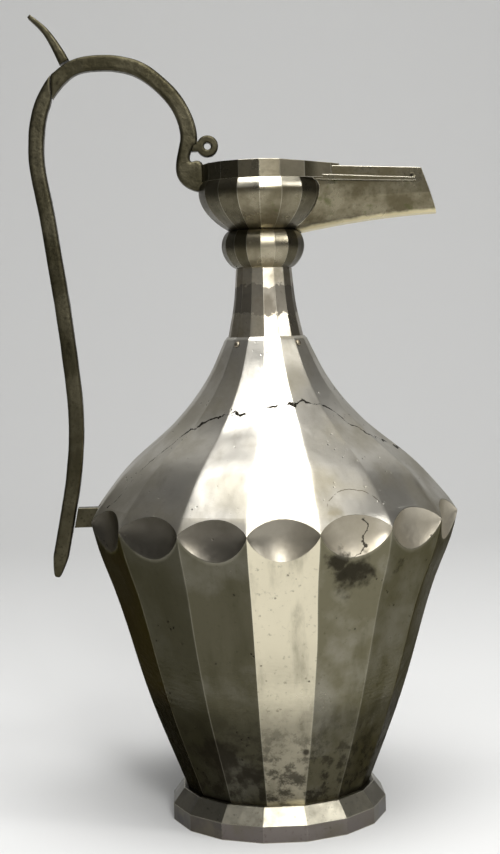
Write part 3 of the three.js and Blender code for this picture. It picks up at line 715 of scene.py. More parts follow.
def handle_pieces(material):
    line = smooth_line(BAR_LINE)
    _, length = at_shares(line, [0])
    size = partial(bar_size, length=length)
    back = bar_mesh("handle_back_skin", line, spaced(0, SCARF_SHARE, BACK_STEPS, True), size)
    add_piece(back, "handle_bronze", material, "handle_back")
    arch_shares = spaced(SCARF_SHARE + SCARF_GAP_SHARE, HEEL_START, ARCH_STEPS)
    arch = bar_mesh("handle_arch_skin", line, arch_shares, size)
    heel = forged_plate("heel", [rounded(HEEL_OUTLINE)], HEEL_HALF_THICKNESS, BAR_CHAMFER)
    forge_together(arch, heel)
    add_piece(arch, "handle_bronze", material, "handle_arch", "handle_heel")
    stem = math.degrees(math.asin((EYE_CENTRE[1] - EYE_STEM[0][1]) / EYE_RADIUS))
    ring = arc(EYE_CENTRE, EYE_RADIUS, 180 + stem, 540 - stem, EYE_SIDES)
    hole = arc(EYE_CENTRE, EYE_HOLE_RADIUS, 0, EYE_HOLE_END, EYE_SIDES // 2)
    outline = ring + list(reversed(EYE_STEM))
    eye = forged_plate("hinge_eye_skin", [outline, hole], EYE_HALF_THICKNESS, EYE_EDGE)
    add_piece(eye, "handle_bronze", material, "hinge_eye")
    thumb_line = smooth_line(THUMB_LINE)
    thumb = bar_mesh("thumb_rest_skin", thumb_line, spaced(0, THUMB_END, THUMB_STEPS), thumb_size)
    add_piece(thumb, "handle_bronze", material, "thumb_rest")


class Nodes:
    """A short way to write a material's node tree."""

    def __init__(self, name):
        self.material = bpy.data.materials.new(name)
        self.material.use_nodes = True
        self.tree = self.material.node_tree
        self.shader = self.tree.nodes["Principled BSDF"]
        self.place = self.new("TexCoord", {}).outputs["Object"]

    def link(self, source, target):
        if isinstance(source, (int, float, tuple)):
            target.default_value = source
        else:
            self.tree.links.new(source, target)

    def new(self, kind, inputs, **settings):
        """A new node with its settings; each input is a plain value or the output of another node."""
        node = self.tree.nodes.new("ShaderNode" + kind)
        for name, value in settings.items():
            setattr(node, name, value)
        for name, source in inputs.items():
            self.link(source, node.inputs[name])
        return node

    def noise(self, size, detail=5, roughness=0.55, stretch=(1, 1, 1), seed=0.0):
        place = self.new("Mapping", {"Vector": self.place, "Scale": stretch}).outputs["Vector"]
        inputs = {"Vector": place, "W": seed, "Scale": 1 / (size * MM)}
        inputs.update({"Detail": detail, "Roughness": roughness})
        return self.new("TexNoise", inputs, noise_dimensions="4D").outputs["Fac"]

    def cells(self, size):
        return self.new("TexVoronoi", {"Vector": self.place, "Scale": 1 / (size * MM)}).outputs["Distance"]

    def ramp(self, value, low, high, out_low=0.0, out_high=1.0, interpolation="SMOOTHSTEP"):
        inputs = {"Value": value, "From Min": low, "From Max": high, "To Min": out_low, "To Max": out_high}
        return self.new("MapRange", inputs, interpolation_type=interpolation).outputs["Result"]

    def math(self, operation, a, b=0.0):
        return self.new("Math", {0: a, 1: b}, operation=operation).outputs[0]

    def plus(self, a, b):
        return self.math("ADD", a, b)

    def minus(self, a, b):
        return self.math("SUBTRACT", a, b)

    def times(self, a, b):
        return self.math("MULTIPLY", a, b)

    def larger(self, a, b):
        return self.math("MAXIMUM", a, b)

    def within(self, value, start, end):
        """1 where a value lies between a start and an end, each given as the pair of values it fades over."""
        return self.times(self.ramp(value, *start), self.ramp(value, *end))

    def swing(self, value, reach):
        """A value between 0 and 1 made to swing about zero, over a whole reach."""
        return self.times(self.minus(value, 0.5), reach)

    def attribute(self, name):
        return self.new("Attribute", {}, attribute_name=name).outputs["Fac"]

    def scaled(self, colour, share):
        return self.new("VectorMath", {0: colour, "Scale": share}, operation="SCALE").outputs["Vector"]

    def clamp(self, value):
        return self.new("Clamp", {"Value": value}).outputs["Result"]

    def mix(self, share, a, b):
        return self.new("Mix", {"Factor": share, "A": a, "B": b}, data_type="RGBA").outputs["Result"]

    def blend(self, share, a, b):
        """A value that goes from a to b as share goes from 0 to 1."""
        return self.plus(a, self.times(share, self.minus(b, a)))

    def axis(self, letter):
        """One coordinate of the place on the surface, in millimetres."""
        return self.math("DIVIDE", self.new("SeparateXYZ", {0: self.place}).outputs[letter], MM)

    def height(self):
        return self.axis("Z")

    def away(self, centre):
        """Distance from a place, both in millimetres."""
        centre = tuple(value * MM for value in centre)
        node = self.new("VectorMath", {0: self.place, 1: centre}, operation="DISTANCE")
        return self.math("DIVIDE", node.outputs["Value"], MM)

    def bumps(self, layers, normal=None):
        """Stacks bump layers, each (height value, depth in millimetres), over a starting normal."""
        for value, depth in layers:
            node = self.new("Bump", {"Height": value, "Distance": depth * MM, "Strength": 1.0})
            if normal is not None:
                self.link(normal, node.inputs["Normal"])
            normal = node.outputs["Normal"]
        self.link(normal, self.shader.inputs["Normal"])


def rgb(red, green, blue):
    return (red, green, blue, 1.0)


GREY_SILVER = rgb(0.3, 0.285, 0.235)
# Pale silver painted on the facet in front as a reflection
PAINTED_SHEEN_SILVER = rgb(0.86, 0.79, 0.6)
KHAKI = rgb(0.15, 0.138, 0.09)
OLIVE = rgb(0.085, 0.078, 0.042)
# Dark olive painted on the side facets as shade
SIDE_SHADE_OLIVE = rgb(0.055, 0.052, 0.034)
BROWN = rgb(0.13, 0.105, 0.07)
NEAR_BLACK = rgb(0.02, 0.017, 0.012)
BRIGHT = rgb(0.88, 0.83, 0.68)
GRAZING_TINT = rgb(0.32, 0.31, 0.28)


# Raggedness of a spot's edge and size of its solid middle, as shares of its radius
SPOT_RAGGEDNESS = 2.4
SPOT_CORE = 0.35


def turn_round(n):
    """Angle round the axis, in radians."""
    return n.math("ARCTAN2", n.axis("Y"), n.axis("X"))


def steady_turn(n):
    """The angle round the axis, held steady across each facet."""
    facet = 2 * HALF_FACET
    return n.times(n.math("ROUND", n.math("DIVIDE", turn_round(n), facet)), facet)


def spot(n, centre, radius, grain, seed):
    """1 inside a ragged round place on the surface, 0 outside; sizes in millimetres."""
    edge = n.swing(n.noise(grain, detail=6, seed=seed), SPOT_RAGGEDNESS * radius)
    return n.ramp(n.plus(n.away(centre), edge), radius, SPOT_CORE * radius)


def edge_wear(n, radius, low=0.015, high=0.09):
    """1 along sharp edges, where a softened normal turns from the real one; also that softened normal."""
    soft = n.new("Bevel", {"Radius": radius * MM}, samples=6).outputs["Normal"]
    plain = n.new("NewGeometry", {}).outputs["Normal"]
    likeness = n.new("VectorMath", {0: soft, 1: plain}, operation="DOT_PRODUCT").outputs["Value"]
    return n.ramp(n.minus(1.0, likeness), low, high), soft


def traced(n, along, keys, low, high):
    """The value that a route takes along its way, from (way, value) keys between a low and a high value."""
    curve = n.new("FloatCurve", {})
    points = curve.mapping.curves[0].points
    first, last = keys[0][0], keys[-1][0]
    places = [((way - first) / (last - first), (value - low) / (high - low)) for way, value in keys]
    points[0].location, points[-1].location = places[0], places[-1]
    for place in places[1:-1]:
        points.new(*place)
    curve.mapping.update()
    n.link(n.ramp(along, first, last, interpolation="LINEAR"), curve.inputs["Value"])
    return n.ramp(curve.outputs["Value"], 0, 1, low, high, interpolation="LINEAR")


# Route of the tear through one hollow: height in millimetres, and degrees round the axis; the heights that
# its ends fade over; and its unevenness and half width, in radians
TEAR = [(119.2, -67), (123, -62.8), (126, -63.6), (129.5, -61.5), (133.7, -63.5)]
TEAR_ANGLES = math.radians(-70), math.radians(-50)
TEAR_START, TEAR_END = (118.5, 119.5), (134.5, 133.5)
TEAR_RAGGEDNESS = 0.09
TEAR_EDGE = 0.007, 0.002


def tear_line(n):
    """1 along the thin ragged tear that runs down through one hollow."""
    route = traced(n, n.height(), [(z, math.radians(degrees)) for z, degrees in TEAR], *TEAR_ANGLES)
    ragged = n.swing(n.noise(4, detail=7, roughness=0.65, seed=15.0), TEAR_RAGGEDNESS)
    away = n.math("ABSOLUTE", n.minus(n.plus(turn_round(n), ragged), route))
    return n.times(n.ramp(away, *TEAR_EDGE), n.within(n.height(), TEAR_START, TEAR_END))


# The old patch on the shoulder: its outline shows above a height, given as the pair that it fades in over
PATCH_CENTRE = (30.5, -65.5, 133.5)
PATCH_RADIUS = 13.4
PATCH_RAGGEDNESS = 2.2
PATCH_EDGE = 0.3, 0.1
PATCH_ARC_START = 138.5, 140.5


def patch_edge(n):
    """1 along the upper edge of an old round patch, whose outline shows as a thin dark arc."""
    ragged = n.swing(n.noise(5, detail=5, seed=17.0), PATCH_RAGGEDNESS)
    away = n.minus(n.plus(n.away(PATCH_CENTRE), ragged), PATCH_RADIUS)
    line = n.ramp(n.math("ABSOLUTE", away), *PATCH_EDGE)
    broken = n.ramp(n.noise(4, seed=18.0), 0.4, 0.46)
    return n.times(n.times(line, n.ramp(n.height(), *PATCH_ARC_START)), broken)


def pitting(n, size, spread, seed):
    pits = n.ramp(n.cells(size), 0.2, 0.1)
    rare = n.ramp(n.noise(spread, detail=4, seed=seed), 0.54, 0.64)
    return n.times(pits, rare)


def hammered(n):
    """The broad hammer marks that run on from the lower body over the shoulder, as a bump layer."""
    return n.noise(13, detail=2, roughness=0.4, seed=55.0), 0.35


def finish_metal(n, colour, rough, layers, normal=None):
    n.link(colour, n.shader.inputs["Base Color"])
    n.link(rough, n.shader.inputs["Roughness"])
    n.shader.inputs["Metallic"].default_value = 1.0
    n.bumps(layers, normal)
    return n.material


# Heights in millimetres that a change in the finish, or in the painted light and shade, is spread over
FRONT_SHEEN_FADE = 90, 55
DARKER_LOW = 48, 62
HOLLOW_PAINTED_SHADE = 118.5, 135
MOTTLED = 68, 18
RIPPLE_START, RIPPLE_END = (50, 58), (85, 70)
NECK_BAND_START, NECK_BAND_END = (214.2, 214.8), (226.6, 225.8)
FOOT_BAND_TOP = 6.5, 7.2

# Other lengths: how far out along the collar's flare its painted front light fades in, how far under the
# collar the cup's painted highlight on its ledge begins, and how far up from the spout's lowest line it is
# rubbed bright and painted with a reflection
FLARE_PAINTED_LIGHT = 17, 25
LEDGE_HIGHLIGHT_DEPTHS = 4.6, 3.4
KEEL_RUB_AND_SHEEN = 2.6, 1.2

# Marks on the surface: centre, radius and grain, all in millimetres
SMUDGE = (21.6, -69.4, 138), 6, 9
NOTCH = (62.5, -8.0, 270.2), 1.5, 3
CORRODED = [
    ((28, -66, 112), 11, 7), ((22, -70, 119), 6, 5), ((9, -47.5, 38), 2.4, 9), ((-26, -39, 34), 13, 6),
    ((45, -52, 115), 6, 5), ((-40, 50, 60), 16, 9), ((60, 25, 100), 12, 8), ((-15, -44, 28), 9, 5),
]


def lower_metal():
    """Lower body: khaki tarnish over silver, with a painted sheen that makes the facet in front paler and
    painted shade on the side facets; patchy near the foot, and darker towards it.
    """
    n = Nodes("lower_silver")
    cosine, sine = n.attribute("facing_x"), n.attribute("facing_y")
    facing = n.ramp(sine, -0.95, -0.985)
    hollow = n.attribute("hollow")
    cloud = n.noise(26, detail=7, seed=2.0)
    streak = n.noise(13, detail=6, roughness=0.6, stretch=(1, 1, 0.16), seed=4.0)
    fine = n.noise(2.0, detail=6, seed=5.0)
    left_side, right_side = n.ramp(cosine, -0.15, -0.62), n.ramp(cosine, 0.45, 0.92)
    # Painted reflection: the facet in front is painted paler, and kept clear of stain above the front sheen's
    # fade heights
    bare_and_sheen = n.mix(facing, GREY_SILVER, PAINTED_SHEEN_SILVER)
    stain = n.plus(n.ramp(cloud, 0.36, 0.62, 0.25, 1.0), n.swing(n.attribute("tone"), 0.5))
    low_down = n.ramp(n.height(), *FRONT_SHEEN_FADE, 0.06, 0.42)
    stain = n.times(stain, n.larger(n.minus(1.0, facing), low_down))
    colour = n.mix(n.clamp(stain), bare_and_sheen, KHAKI)
    colour = n.mix(n.ramp(streak, 0.48, 0.72, 0, 0.6), colour, OLIVE)
    colour = n.mix(n.ramp(fine, 0.58, 0.76, 0, 0.5), colour, OLIVE)
    # Painted shade: facets turned to either side are darkened towards olive, then the left side darker still
    # and the right a touch lighter
    colour = n.mix(n.times(n.larger(left_side, right_side), 0.82), colour, SIDE_SHADE_OLIVE)
    colour = n.scaled(colour, n.ramp(cosine, -0.3, 0.5, 0.75, 1.05))
    # Darker towards the foot, below a ragged line
    colour = n.scaled(colour, n.ramp(n.plus(n.height(), n.swing(cloud, 22)), *DARKER_LOW, 0.6, 1.0))
    upper = n.attribute("upper")
    bright, bright_cloud, _ = shoulder_tone(n)
    colour = n.mix(upper, colour, bright)
    smooth_grey = n.mix(n.ramp(cloud, 0.4, 0.65), rgb(0.36, 0.33, 0.27), rgb(0.25, 0.225, 0.175))
    # Painted light and shade in the hollows: darker on the left, brighter on the right, a painted highlight
    # at their bottoms and painted shade under their upper edges
    smooth_grey = n.scaled(smooth_grey, n.ramp(cosine, -0.6, 0.1, 0.42, 1.13))
    smooth_grey = n.scaled(smooth_grey, n.ramp(cosine, 0.1, 0.38, 1.0, 1.8))
    smooth_grey = n.scaled(smooth_grey, n.ramp(n.height(), *HOLLOW_PAINTED_SHADE, 1.25, 0.7))
    colour = n.mix(hollow, colour, smooth_grey)
    low = n.ramp(n.height(), *MOTTLED)
    mottle = n.ramp(n.noise(6, detail=8, roughness=0.7, seed=7.0), 0.46, 0.6)
    dark = n.times(n.times(low, mottle), 0.8)
    for centre, radius, grain in CORRODED:
        dark = n.larger(dark, n.times(spot(n, centre, radius, grain, seed=radius), 0.85))
    dark = n.larger(dark, n.times(tear_line(n), 0.9))
    colour = n.mix(dark, colour, NEAR_BLACK)
    pitted = pitting(n, 3.0, 14, 9.0)
    colour = n.mix(n.times(pitted, 0.8), colour, NEAR_BLACK)
    wear = n.times(n.attribute("wear"), n.ramp(n.noise(8, detail=4, seed=13.0), 0.3, 0.55, 0.35, 1.0))
    colour = n.mix(n.times(wear, 0.12), colour, BRIGHT)
    rough = n.plus(n.ramp(cloud, 0.35, 0.7, 0.27, 0.4), n.times(dark, 0.25))
    rough = n.plus(rough, n.times(n.ramp(fine, 0.45, 0.75), 0.08))
    rough = n.plus(rough, n.times(hollow, 0.06))
    rough = n.blend(upper, rough, n.ramp(bright_cloud, 0.35, 0.7, 0.3, 0.42))
    scratch = n.noise(1.4, detail=4, stretch=(1, 1, 0.05), seed=12.0)
    ripple_zone = n.within(n.height(), RIPPLE_START, RIPPLE_END)
    ripples = n.times(n.noise(6, detail=4, stretch=(1, 1, 3.2), seed=14.0), ripple_zone)
    layers = [hammered(n), (scratch, 0.02), (fine, 0.03), (ripples, 0.5),
              (n.times(pitted, -1.0), 0.2), (n.times(dark, -1.0), 0.06)]
    n.link(n.mix(upper, GRAZING_TINT, rgb(1, 1, 1)), n.shader.inputs["Specular Tint"])
    return finish_metal(n, colour, rough, layers)


# Route of the old crack over the shoulder: degrees round the axis, and height in millimetres; then the angles
# that its ends fade over, its unevenness, and its least and greatest half width
CRACK = [(-170, 133), (-160, 138), (-156, 152), (-151, 160.6), (-144.5, 167.7), (-111, 174.6), (-94, 176.3),
         (-58, 177.4), (-44, 174), (-37, 168), (-25.6, 162.4), (-13.8, 157.7), (0, 150)]
CRACK_LOW, CRACK_HIGH = 130, 180
CRACK_START = math.radians(-169), math.radians(-163)
CRACK_END = math.radians(-2), math.radians(-14)
CRACK_RAGGEDNESS = 9
CRACK_HALF_WIDTHS = 0.12, 0.75


def crack_line(n):
    """1 along a thin ragged line, with gaps where the metal holds."""
    turn = turn_round(n)
    route = traced(n, turn, [(math.radians(degrees), z) for degrees, z in CRACK], CRACK_LOW, CRACK_HIGH)
    ragged = n.swing(n.noise(6, detail=7, seed=41.0), CRACK_RAGGEDNESS)
    away = n.math("ABSOLUTE", n.minus(n.plus(n.height(), ragged), route))
    thick = n.ramp(n.noise(5, detail=3, seed=43.0), 0.4, 0.65, *CRACK_HALF_WIDTHS)
    broken = n.ramp(n.noise(7, detail=4, seed=42.0), 0.4, 0.44)
    return n.times(n.times(n.math("LESS_THAN", away, thick), n.within(turn, CRACK_START, CRACK_END)), broken)


def shoulder_tone(n):
    """Satin silver with beige clouds, with painted shade that makes it browner at the sides; also its cloud
    and grain values.
    """
    cloud = n.noise(24, detail=7, seed=51.0)
    fine = n.noise(2.0, detail=6, seed=52.0)
    streak = n.noise(10, detail=5, stretch=(1, 1, 0.25), seed=53.0)
    stain = n.plus(n.ramp(cloud, 0.4, 0.66, 0, 0.8), n.swing(n.attribute("tone"), 0.4))
    colour = n.mix(n.clamp(stain), rgb(0.66, 0.63, 0.56), rgb(0.4, 0.365, 0.28))
    colour = n.mix(n.ramp(streak, 0.55, 0.75, 0, 0.4), colour, rgb(0.3, 0.27, 0.19))
    colour = n.mix(n.times(spot(n, *SMUDGE, seed=19.0), 0.7), colour, rgb(0.3, 0.26, 0.17))
    colour = n.mix(n.times(patch_edge(n), 0.85), colour, BROWN)
    colour = n.mix(n.ramp(fine, 0.62, 0.78, 0, 0.3), colour, BROWN)
    # Painted shade: facets turned away from the front are darkened towards brown
    sides = n.ramp(n.attribute("facing_y"), -0.6, -0.2, 0.0, 0.35)
    return n.mix(sides, colour, rgb(0.2, 0.18, 0.13)), cloud, fine


def shoulder_metal():
    """Shoulder: satin silver, with painted shade that makes it brown-grey at the sides, with an old crack
    across it.
    """
    n = Nodes("shoulder_silver")
    colour, cloud, fine = shoulder_tone(n)
    pitted = pitting(n, 2.6, 12, 54.0)
    dark = n.larger(crack_line(n), n.times(pitted, 0.7))
    colour = n.mix(dark, colour, NEAR_BLACK)
    colour = n.mix(n.times(n.attribute("wear"), 0.1), colour, BRIGHT)
    rough = n.plus(n.ramp(cloud, 0.35, 0.7, 0.3, 0.42), n.times(dark, 0.3))
    layers = [hammered(n), (fine, 0.03), (n.times(dark, -1.0), 0.25)]
    return finish_metal(n, colour, rough, layers)


def neck_metal():
    """Neck: bright at the top, with a ragged dark band half way up, and painted shade away from the front."""
    n = Nodes("neck_silver")
    cloud = n.noise(9, detail=7, seed=61.0)
    fine = n.noise(1.6, detail=6, seed=62.0)
    # Painted shade: away from the front the neck is darkened towards brown
    side = n.ramp(n.attribute("facing_y"), -0.55, -0.95)
    colour = n.mix(n.ramp(cloud, 0.42, 0.68), rgb(0.72, 0.66, 0.53), rgb(0.42, 0.37, 0.27))
    colour = n.mix(n.ramp(side, 0, 1, 0.65, 0.0), colour, BROWN)
    ragged = n.swing(n.noise(5, detail=6, seed=63.0), 9)
    band = n.within(n.plus(n.height(), ragged), NECK_BAND_START, NECK_BAND_END)
    colour = n.mix(n.times(band, 0.8), colour, rgb(0.11, 0.098, 0.08))
    colour = n.mix(n.ramp(fine, 0.6, 0.78, 0, 0.5), colour, BROWN)
    _, soft = edge_wear(n, 0.25)
    colour = n.mix(n.times(n.attribute("wear"), 0.5), colour, BRIGHT)
    rough = n.plus(n.ramp(cloud, 0.35, 0.7, 0.26, 0.4), n.times(band, 0.15))
    return finish_metal(n, colour, rough, [(n.noise(7, detail=2, seed=64.0), 0.12), (fine, 0.03)], soft)


def head_tarnish(n):
    """Brown tarnish with pits and olive spots, shared by the head's pieces."""
    cloud = n.noise(12, detail=7, roughness=0.62, seed=21.0)
    fine = n.noise(1.6, detail=6, seed=22.0)
    colour = n.mix(n.ramp(cloud, 0.36, 0.62), rgb(0.23, 0.205, 0.14), rgb(0.115, 0.098, 0.058))
    colour = n.mix(n.ramp(fine, 0.52, 0.74, 0, 0.6), colour, rgb(0.08, 0.066, 0.038))
    olive = n.ramp(n.noise(5, detail=5, seed=24.0), 0.58, 0.7)
    colour = n.mix(n.times(olive, 0.6), colour, rgb(0.085, 0.09, 0.033))
    pitted = pitting(n, 2.3, 9, 25.0)
    colour = n.mix(n.times(pitted, 0.85), colour, NEAR_BLACK)
    rough = n.plus(n.ramp(cloud, 0.3, 0.7, 0.24, 0.4), n.times(pitted, 0.3))
    layers = [(n.noise(6, detail=2, seed=26.0), 0.08), (fine, 0.03), (n.times(pitted, -1.0), 0.14)]
    return colour, rough, layers


def head_metal():
    """Knop, cup and collar, with painted shade away from the front, a painted highlight on the front facets
    and under the collar, and rubbed bright on their edges.
    """
    n = Nodes("head_silver")
    colour, rough, layers = head_tarnish(n)
    # Painted light and shade: facets away from the front are darkened, and the front facets and the collar's
    # flare towards the spout are painted paler
    front = n.ramp(n.attribute("facing_y"), -0.8, -0.97)
    in_collar = n.math("GREATER_THAN", n.height(), RIM_Z)
    front = n.larger(front, n.times(n.ramp(n.axis("X"), *FLARE_PAINTED_LIGHT, 0.0, 0.6), in_collar))
    tone = n.swing(n.attribute("tone"), 0.5)
    colour = n.mix(n.ramp(front, 0, 1, 0.65, 0.0), colour, rgb(0.045, 0.04, 0.024))
    colour = n.mix(n.clamp(n.times(front, n.plus(tone, 0.3))), colour, rgb(0.5, 0.45, 0.34))
    # Painted highlight: a bright band on the front of the cup just under the collar
    top = n.ramp(n.height(), RIM_Z - LEDGE_HIGHLIGHT_DEPTHS[0], RIM_Z - LEDGE_HIGHLIGHT_DEPTHS[1], 0.0, 0.55)
    ledge_highlight = n.times(n.times(top, n.math("LESS_THAN", n.height(), RIM_Z)), front)
    colour = n.mix(ledge_highlight, colour, BRIGHT)
    wear, soft = edge_wear(n, 0.3)
    worn = n.larger(n.times(n.attribute("wear"), 0.45), wear)
    colour = n.mix(n.times(worn, 0.8), colour, BRIGHT)
    return finish_metal(n, colour, rough, layers, soft)


def spout_metal():
    """Spout: as the head, with a pale band along its keel that is partly rubbed metal and partly painted
    reflection, its lips rubbed bright, and a dark notch near the tip.
    """
    n = Nodes("spout_silver")
    colour, rough, layers = head_tarnish(n)
    # Partly rubbed metal, partly painted reflection: a pale band just above the line of the keel
    along = n.math("DIVIDE", n.minus(n.axis("X"), KEEL_ROOT), KEEL_REACH - KEEL_ROOT)
    bow = n.times(n.times(along, n.minus(1.0, along)), 2 * KEEL_BULGE)
    climb = ROOT_DEPTH - TIP_DEPTH - LIP_FALL
    keel = n.plus(n.plus(n.times(along, climb), LIP_Z - ROOT_DEPTH), bow)
    ragged = n.swing(n.noise(3, detail=5, seed=81.0), 1.6)
    rub_and_sheen = n.ramp(n.plus(n.minus(n.height(), keel), ragged), *KEEL_RUB_AND_SHEEN)
    colour = n.mix(n.times(rub_and_sheen, 0.85), colour, rgb(0.75, 0.66, 0.42))
    notch = spot(n, *NOTCH, seed=82.0)
    colour = n.mix(notch, colour, NEAR_BLACK)
    wear, soft = edge_wear(n, 0.45)
    colour = n.mix(n.times(wear, 0.85), colour, BRIGHT)
    return finish_metal(n, colour, rough, layers + [(n.times(notch, -1.0), 0.3)], soft)


def foot_metal():
    """Foot: a sloping top painted paler, partly as a highlight, over a purple-grey band, with a painted
    highlight on the front facets, painted shade on the left, and bright rubbed corners.
    """
    n = Nodes("foot_silver")
    steady = steady_turn(n)
    cloud = n.noise(11, detail=7, seed=71.0)
    fine = n.noise(1.8, detail=6, seed=72.0)
    # Painted light and shade: the front facets are painted paler, the sloping top most of all, and the left
    # side is darkened
    front = n.ramp(n.math("SINE", steady), -0.3, -0.9)
    upper = n.mix(front, rgb(0.17, 0.155, 0.115), rgb(0.62, 0.58, 0.46))
    band = n.mix(front, rgb(0.085, 0.075, 0.065), rgb(0.19, 0.168, 0.155))
    colour = n.mix(n.ramp(n.height(), *FOOT_BAND_TOP), band, upper)
    colour = n.scaled(colour, n.ramp(n.math("COSINE", steady), -0.95, -0.1, 0.4, 1.0))
    colour = n.mix(n.ramp(cloud, 0.42, 0.66, 0, 0.7), colour, rgb(0.15, 0.135, 0.1))
    colour = n.mix(n.ramp(fine, 0.56, 0.76, 0, 0.6), colour, rgb(0.06, 0.05, 0.035))
    wear, soft = edge_wear(n, 0.6)
    colour = n.mix(n.times(wear, 0.75), colour, BRIGHT)
    rough = n.ramp(cloud, 0.3, 0.7, 0.27, 0.42)
    return finish_metal(n, colour, rough, [(n.noise(9, detail=2, seed=73.0), 0.25), (fine, 0.04)], soft)


def handle_metal():
    """Dark olive-brown patina, rubbed bright along the bevels, with a grainy forged surface."""
    n = Nodes("handle_bronze")
    cloud = n.noise(18, detail=6, roughness=0.6, seed=31.0)
    fine = n.noise(1.3, detail=6, seed=32.0)
    colour = n.mix(n.ramp(cloud, 0.36, 0.62), rgb(0.085, 0.076, 0.048), rgb(0.042, 0.037, 0.021))
    colour = n.mix(n.ramp(fine, 0.5, 0.7, 0, 0.6), colour, rgb(0.022, 0.019, 0.011))
    wear, soft = edge_wear(n, 0.7, 0.02, 0.1)
    rub_and_sheen = n.times(wear, n.ramp(n.noise(9, detail=4, seed=34.0), 0.38, 0.62))
    colour = n.mix(n.times(rub_and_sheen, 0.45), colour, rgb(0.4, 0.36, 0.26))
    rough = n.ramp(fine, 0.35, 0.7, 0.3, 0.48)
    return finish_metal(n, colour, rough, [(n.noise(3.2, detail=3, seed=33.0), 0.12), (fine, 0.05)], soft)


def coat_solids(material, *nodes):
    for node in nodes:
        coat(frame["nodes"][node], material)


def dress():
    lower_silver, shoulder_silver, head, foot = lower_metal(), shoulder_metal(), head_metal(), foot_metal()
    neck, bronze = neck_metal(), handle_metal()
    lower = sheet_mesh("lower_body_skin", body_rows(), WALL)
    add_piece(lower, "body_silver", lower_silver, "lower_body")
    upper = sheet_mesh("shoulder_skin", shoulder_rows(), WALL)
    add_piece(upper, "body_silver", shoulder_silver, "shoulder")
    keys = knop_keys()
    bulb = sheet_mesh("knop_skin", key_rows(keys), steep_walls(keys, WALL), HEAD_FACETS, KNOP_TURN)
    add_piece(bulb, "head_silver", head, "knop")
    keys = cup_keys()
    bowl = sheet_mesh("cup_skin", key_rows(keys), steep_walls(keys, WALL), HEAD_FACETS, CUP_TURN)
    cut_away(bowl, channel_cutter())
    add_piece(bowl, "head_silver", head, "cup")
    keys = neck_keys()
    tube = sheet_mesh("neck_skin", key_rows(keys), steep_walls(keys, WALL))
    add_piece(tube, "body_silver", neck, "neck_tube")
    keys = [(lerp(RIM_Z, COLLAR_TOP_Z, share), COLLAR_RADIUS) for share in COLLAR_SHARES]
    collar = sheet_mesh("collar_skin", key_rows(keys), WALL, HEAD_FACETS, CUP_TURN)
    shape_rim(collar)
    cut_away(collar, channel_cutter())
    add_piece(collar, "head_silver", head, "rim_collar")
    handle_pieces(bronze)
    coat_solids(neck, *[f"neck_rivet_{n}" for n in range(1, 5)])
    coat_solids(foot, "foot_ring", "base_plate")
    coat_solids(spout_metal(), "spout", "spout_bead_near", "spout_bead_far")
    coat_solids(bronze, "lower_bracket")


# Camera, floor and light

CAMERA_DISTANCE = 0.683
CAMERA_HEIGHT = 0.215
CAMERA_AZIMUTH = math.radians(-92.85)
CAMERA_HEADING = math.radians(87.81)
CAMERA_PITCH = math.radians(4.08)
CAMERA_ROLL = math.radians(1.67)
CAMERA_LENS = 67.66
SENSOR_WIDTH = 36
NEAREST = 0.01
LAMP_AIM = Vector((0, 0, 0.15))

# Floor and backdrop in metres, drawn as a profile from front to back
FLOOR_HALF_WIDTH = 6.0
FLOOR_FRONT, FLOOR_BACK = -4.0, 1.6
BACKDROP_RISE = 3.4
BACKDROP_BEND = 0.8
BEND_STEPS = 12


def camera():
    data = bpy.data.cameras.new("camera")
    data.lens = CAMERA_LENS
    data.sensor_width = SENSOR_WIDTH
    data.clip_start = NEAREST
    thing = add_object("camera", data)
    thing.location = (CAMERA_DISTANCE * math.cos(CAMERA_AZIMUTH),
                      CAMERA_DISTANCE * math.sin(CAMERA_AZIMUTH), CAMERA_HEIGHT)
    level_out = math.cos(CAMERA_PITCH)
    ahead = Vector((math.cos(CAMERA_HEADING) * level_out, math.sin(CAMERA_HEADING) * level_out,
                    -math.sin(CAMERA_PITCH)))
    turn = ahead.to_track_quat("-Z", "Y") @ Quaternion((0, 0, 1), -CAMERA_ROLL)
    thing.rotation_mode = "QUATERNION"
    thing.rotation_quaternion = turn
    bpy.context.scene.camera = thing


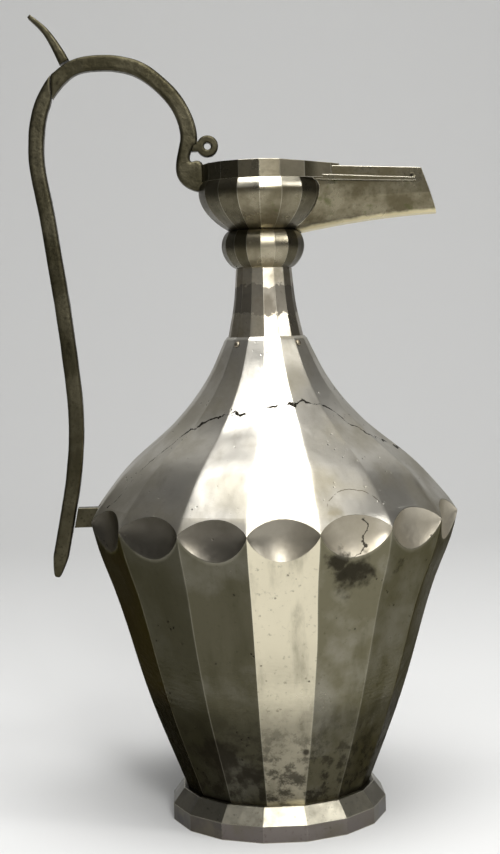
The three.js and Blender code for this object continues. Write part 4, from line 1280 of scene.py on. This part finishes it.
def stage_material(name, colour):
    """A matt surface in a plain tone."""
    n = Nodes(name)
    n.shader.inputs["Base Color"].default_value = colour
    n.shader.inputs["Roughness"].default_value = 0.9
    n.shader.inputs["Specular IOR Level"].default_value = 0.1
    return n.material


def floor():
    """A floor that curves up into a backdrop behind the object."""
    start = FLOOR_BACK - BACKDROP_BEND
    profile = [(FLOOR_FRONT, 0.0), (start, 0.0)]
    for step in range(1, BEND_STEPS + 1):
        angle = math.pi / 2 * step / BEND_STEPS
        profile.append((start + BACKDROP_BEND * math.sin(angle), BACKDROP_BEND * (1 - math.cos(angle))))
    profile.append((FLOOR_BACK, BACKDROP_RISE))
    points, faces = [], []
    for y, z in profile:
        points += [Vector((side * FLOOR_HALF_WIDTH, y, z)) / MM for side in (-1, 1)]
    for i in range(len(profile) - 1):
        faces.append((2 * i, 2 * i + 1, 2 * i + 3, 2 * i + 2))
    thing = make_object("floor", points, faces)
    thing.data.materials.append(stage_material("floor", rgb(0.72, 0.72, 0.71)))


def lamp(name, place, size, power):
    """A soft white rectangular lamp that faces the object."""
    data = bpy.data.lights.new(name, "AREA")
    data.shape = "RECTANGLE"
    data.size, data.size_y = size
    data.energy = power
    thing = add_object(name, data)
    thing.location = place
    thing.rotation_mode = "QUATERNION"
    thing.rotation_quaternion = (LAMP_AIM - Vector(place)).to_track_quat("-Z", "Y")


def world(brightness):
    scene_world = bpy.data.worlds.new("world")
    bpy.context.scene.world = scene_world
    scene_world.use_nodes = True
    background = scene_world.node_tree.nodes["Background"]
    background.inputs["Color"].default_value = rgb(1, 1, 1)
    background.inputs["Strength"].default_value = brightness


def studio():
    floor()
    camera()
    lamp("overhead", (0.05, -0.35, 1.3), (1.0, 0.75), 17)
    lamp("front", (0.3, -1.7, 1.1), (0.3, 0.9), 18)
    lamp("side", (1.5, -0.9, 1.1), (0.3, 0.7), 7)
    lamp("back", (0.1, 1.25, 1.7), (3.0, 0.9), 5)
    world(0.1)
    bpy.context.scene.view_settings.view_transform = "Standard"


dress()
studio()
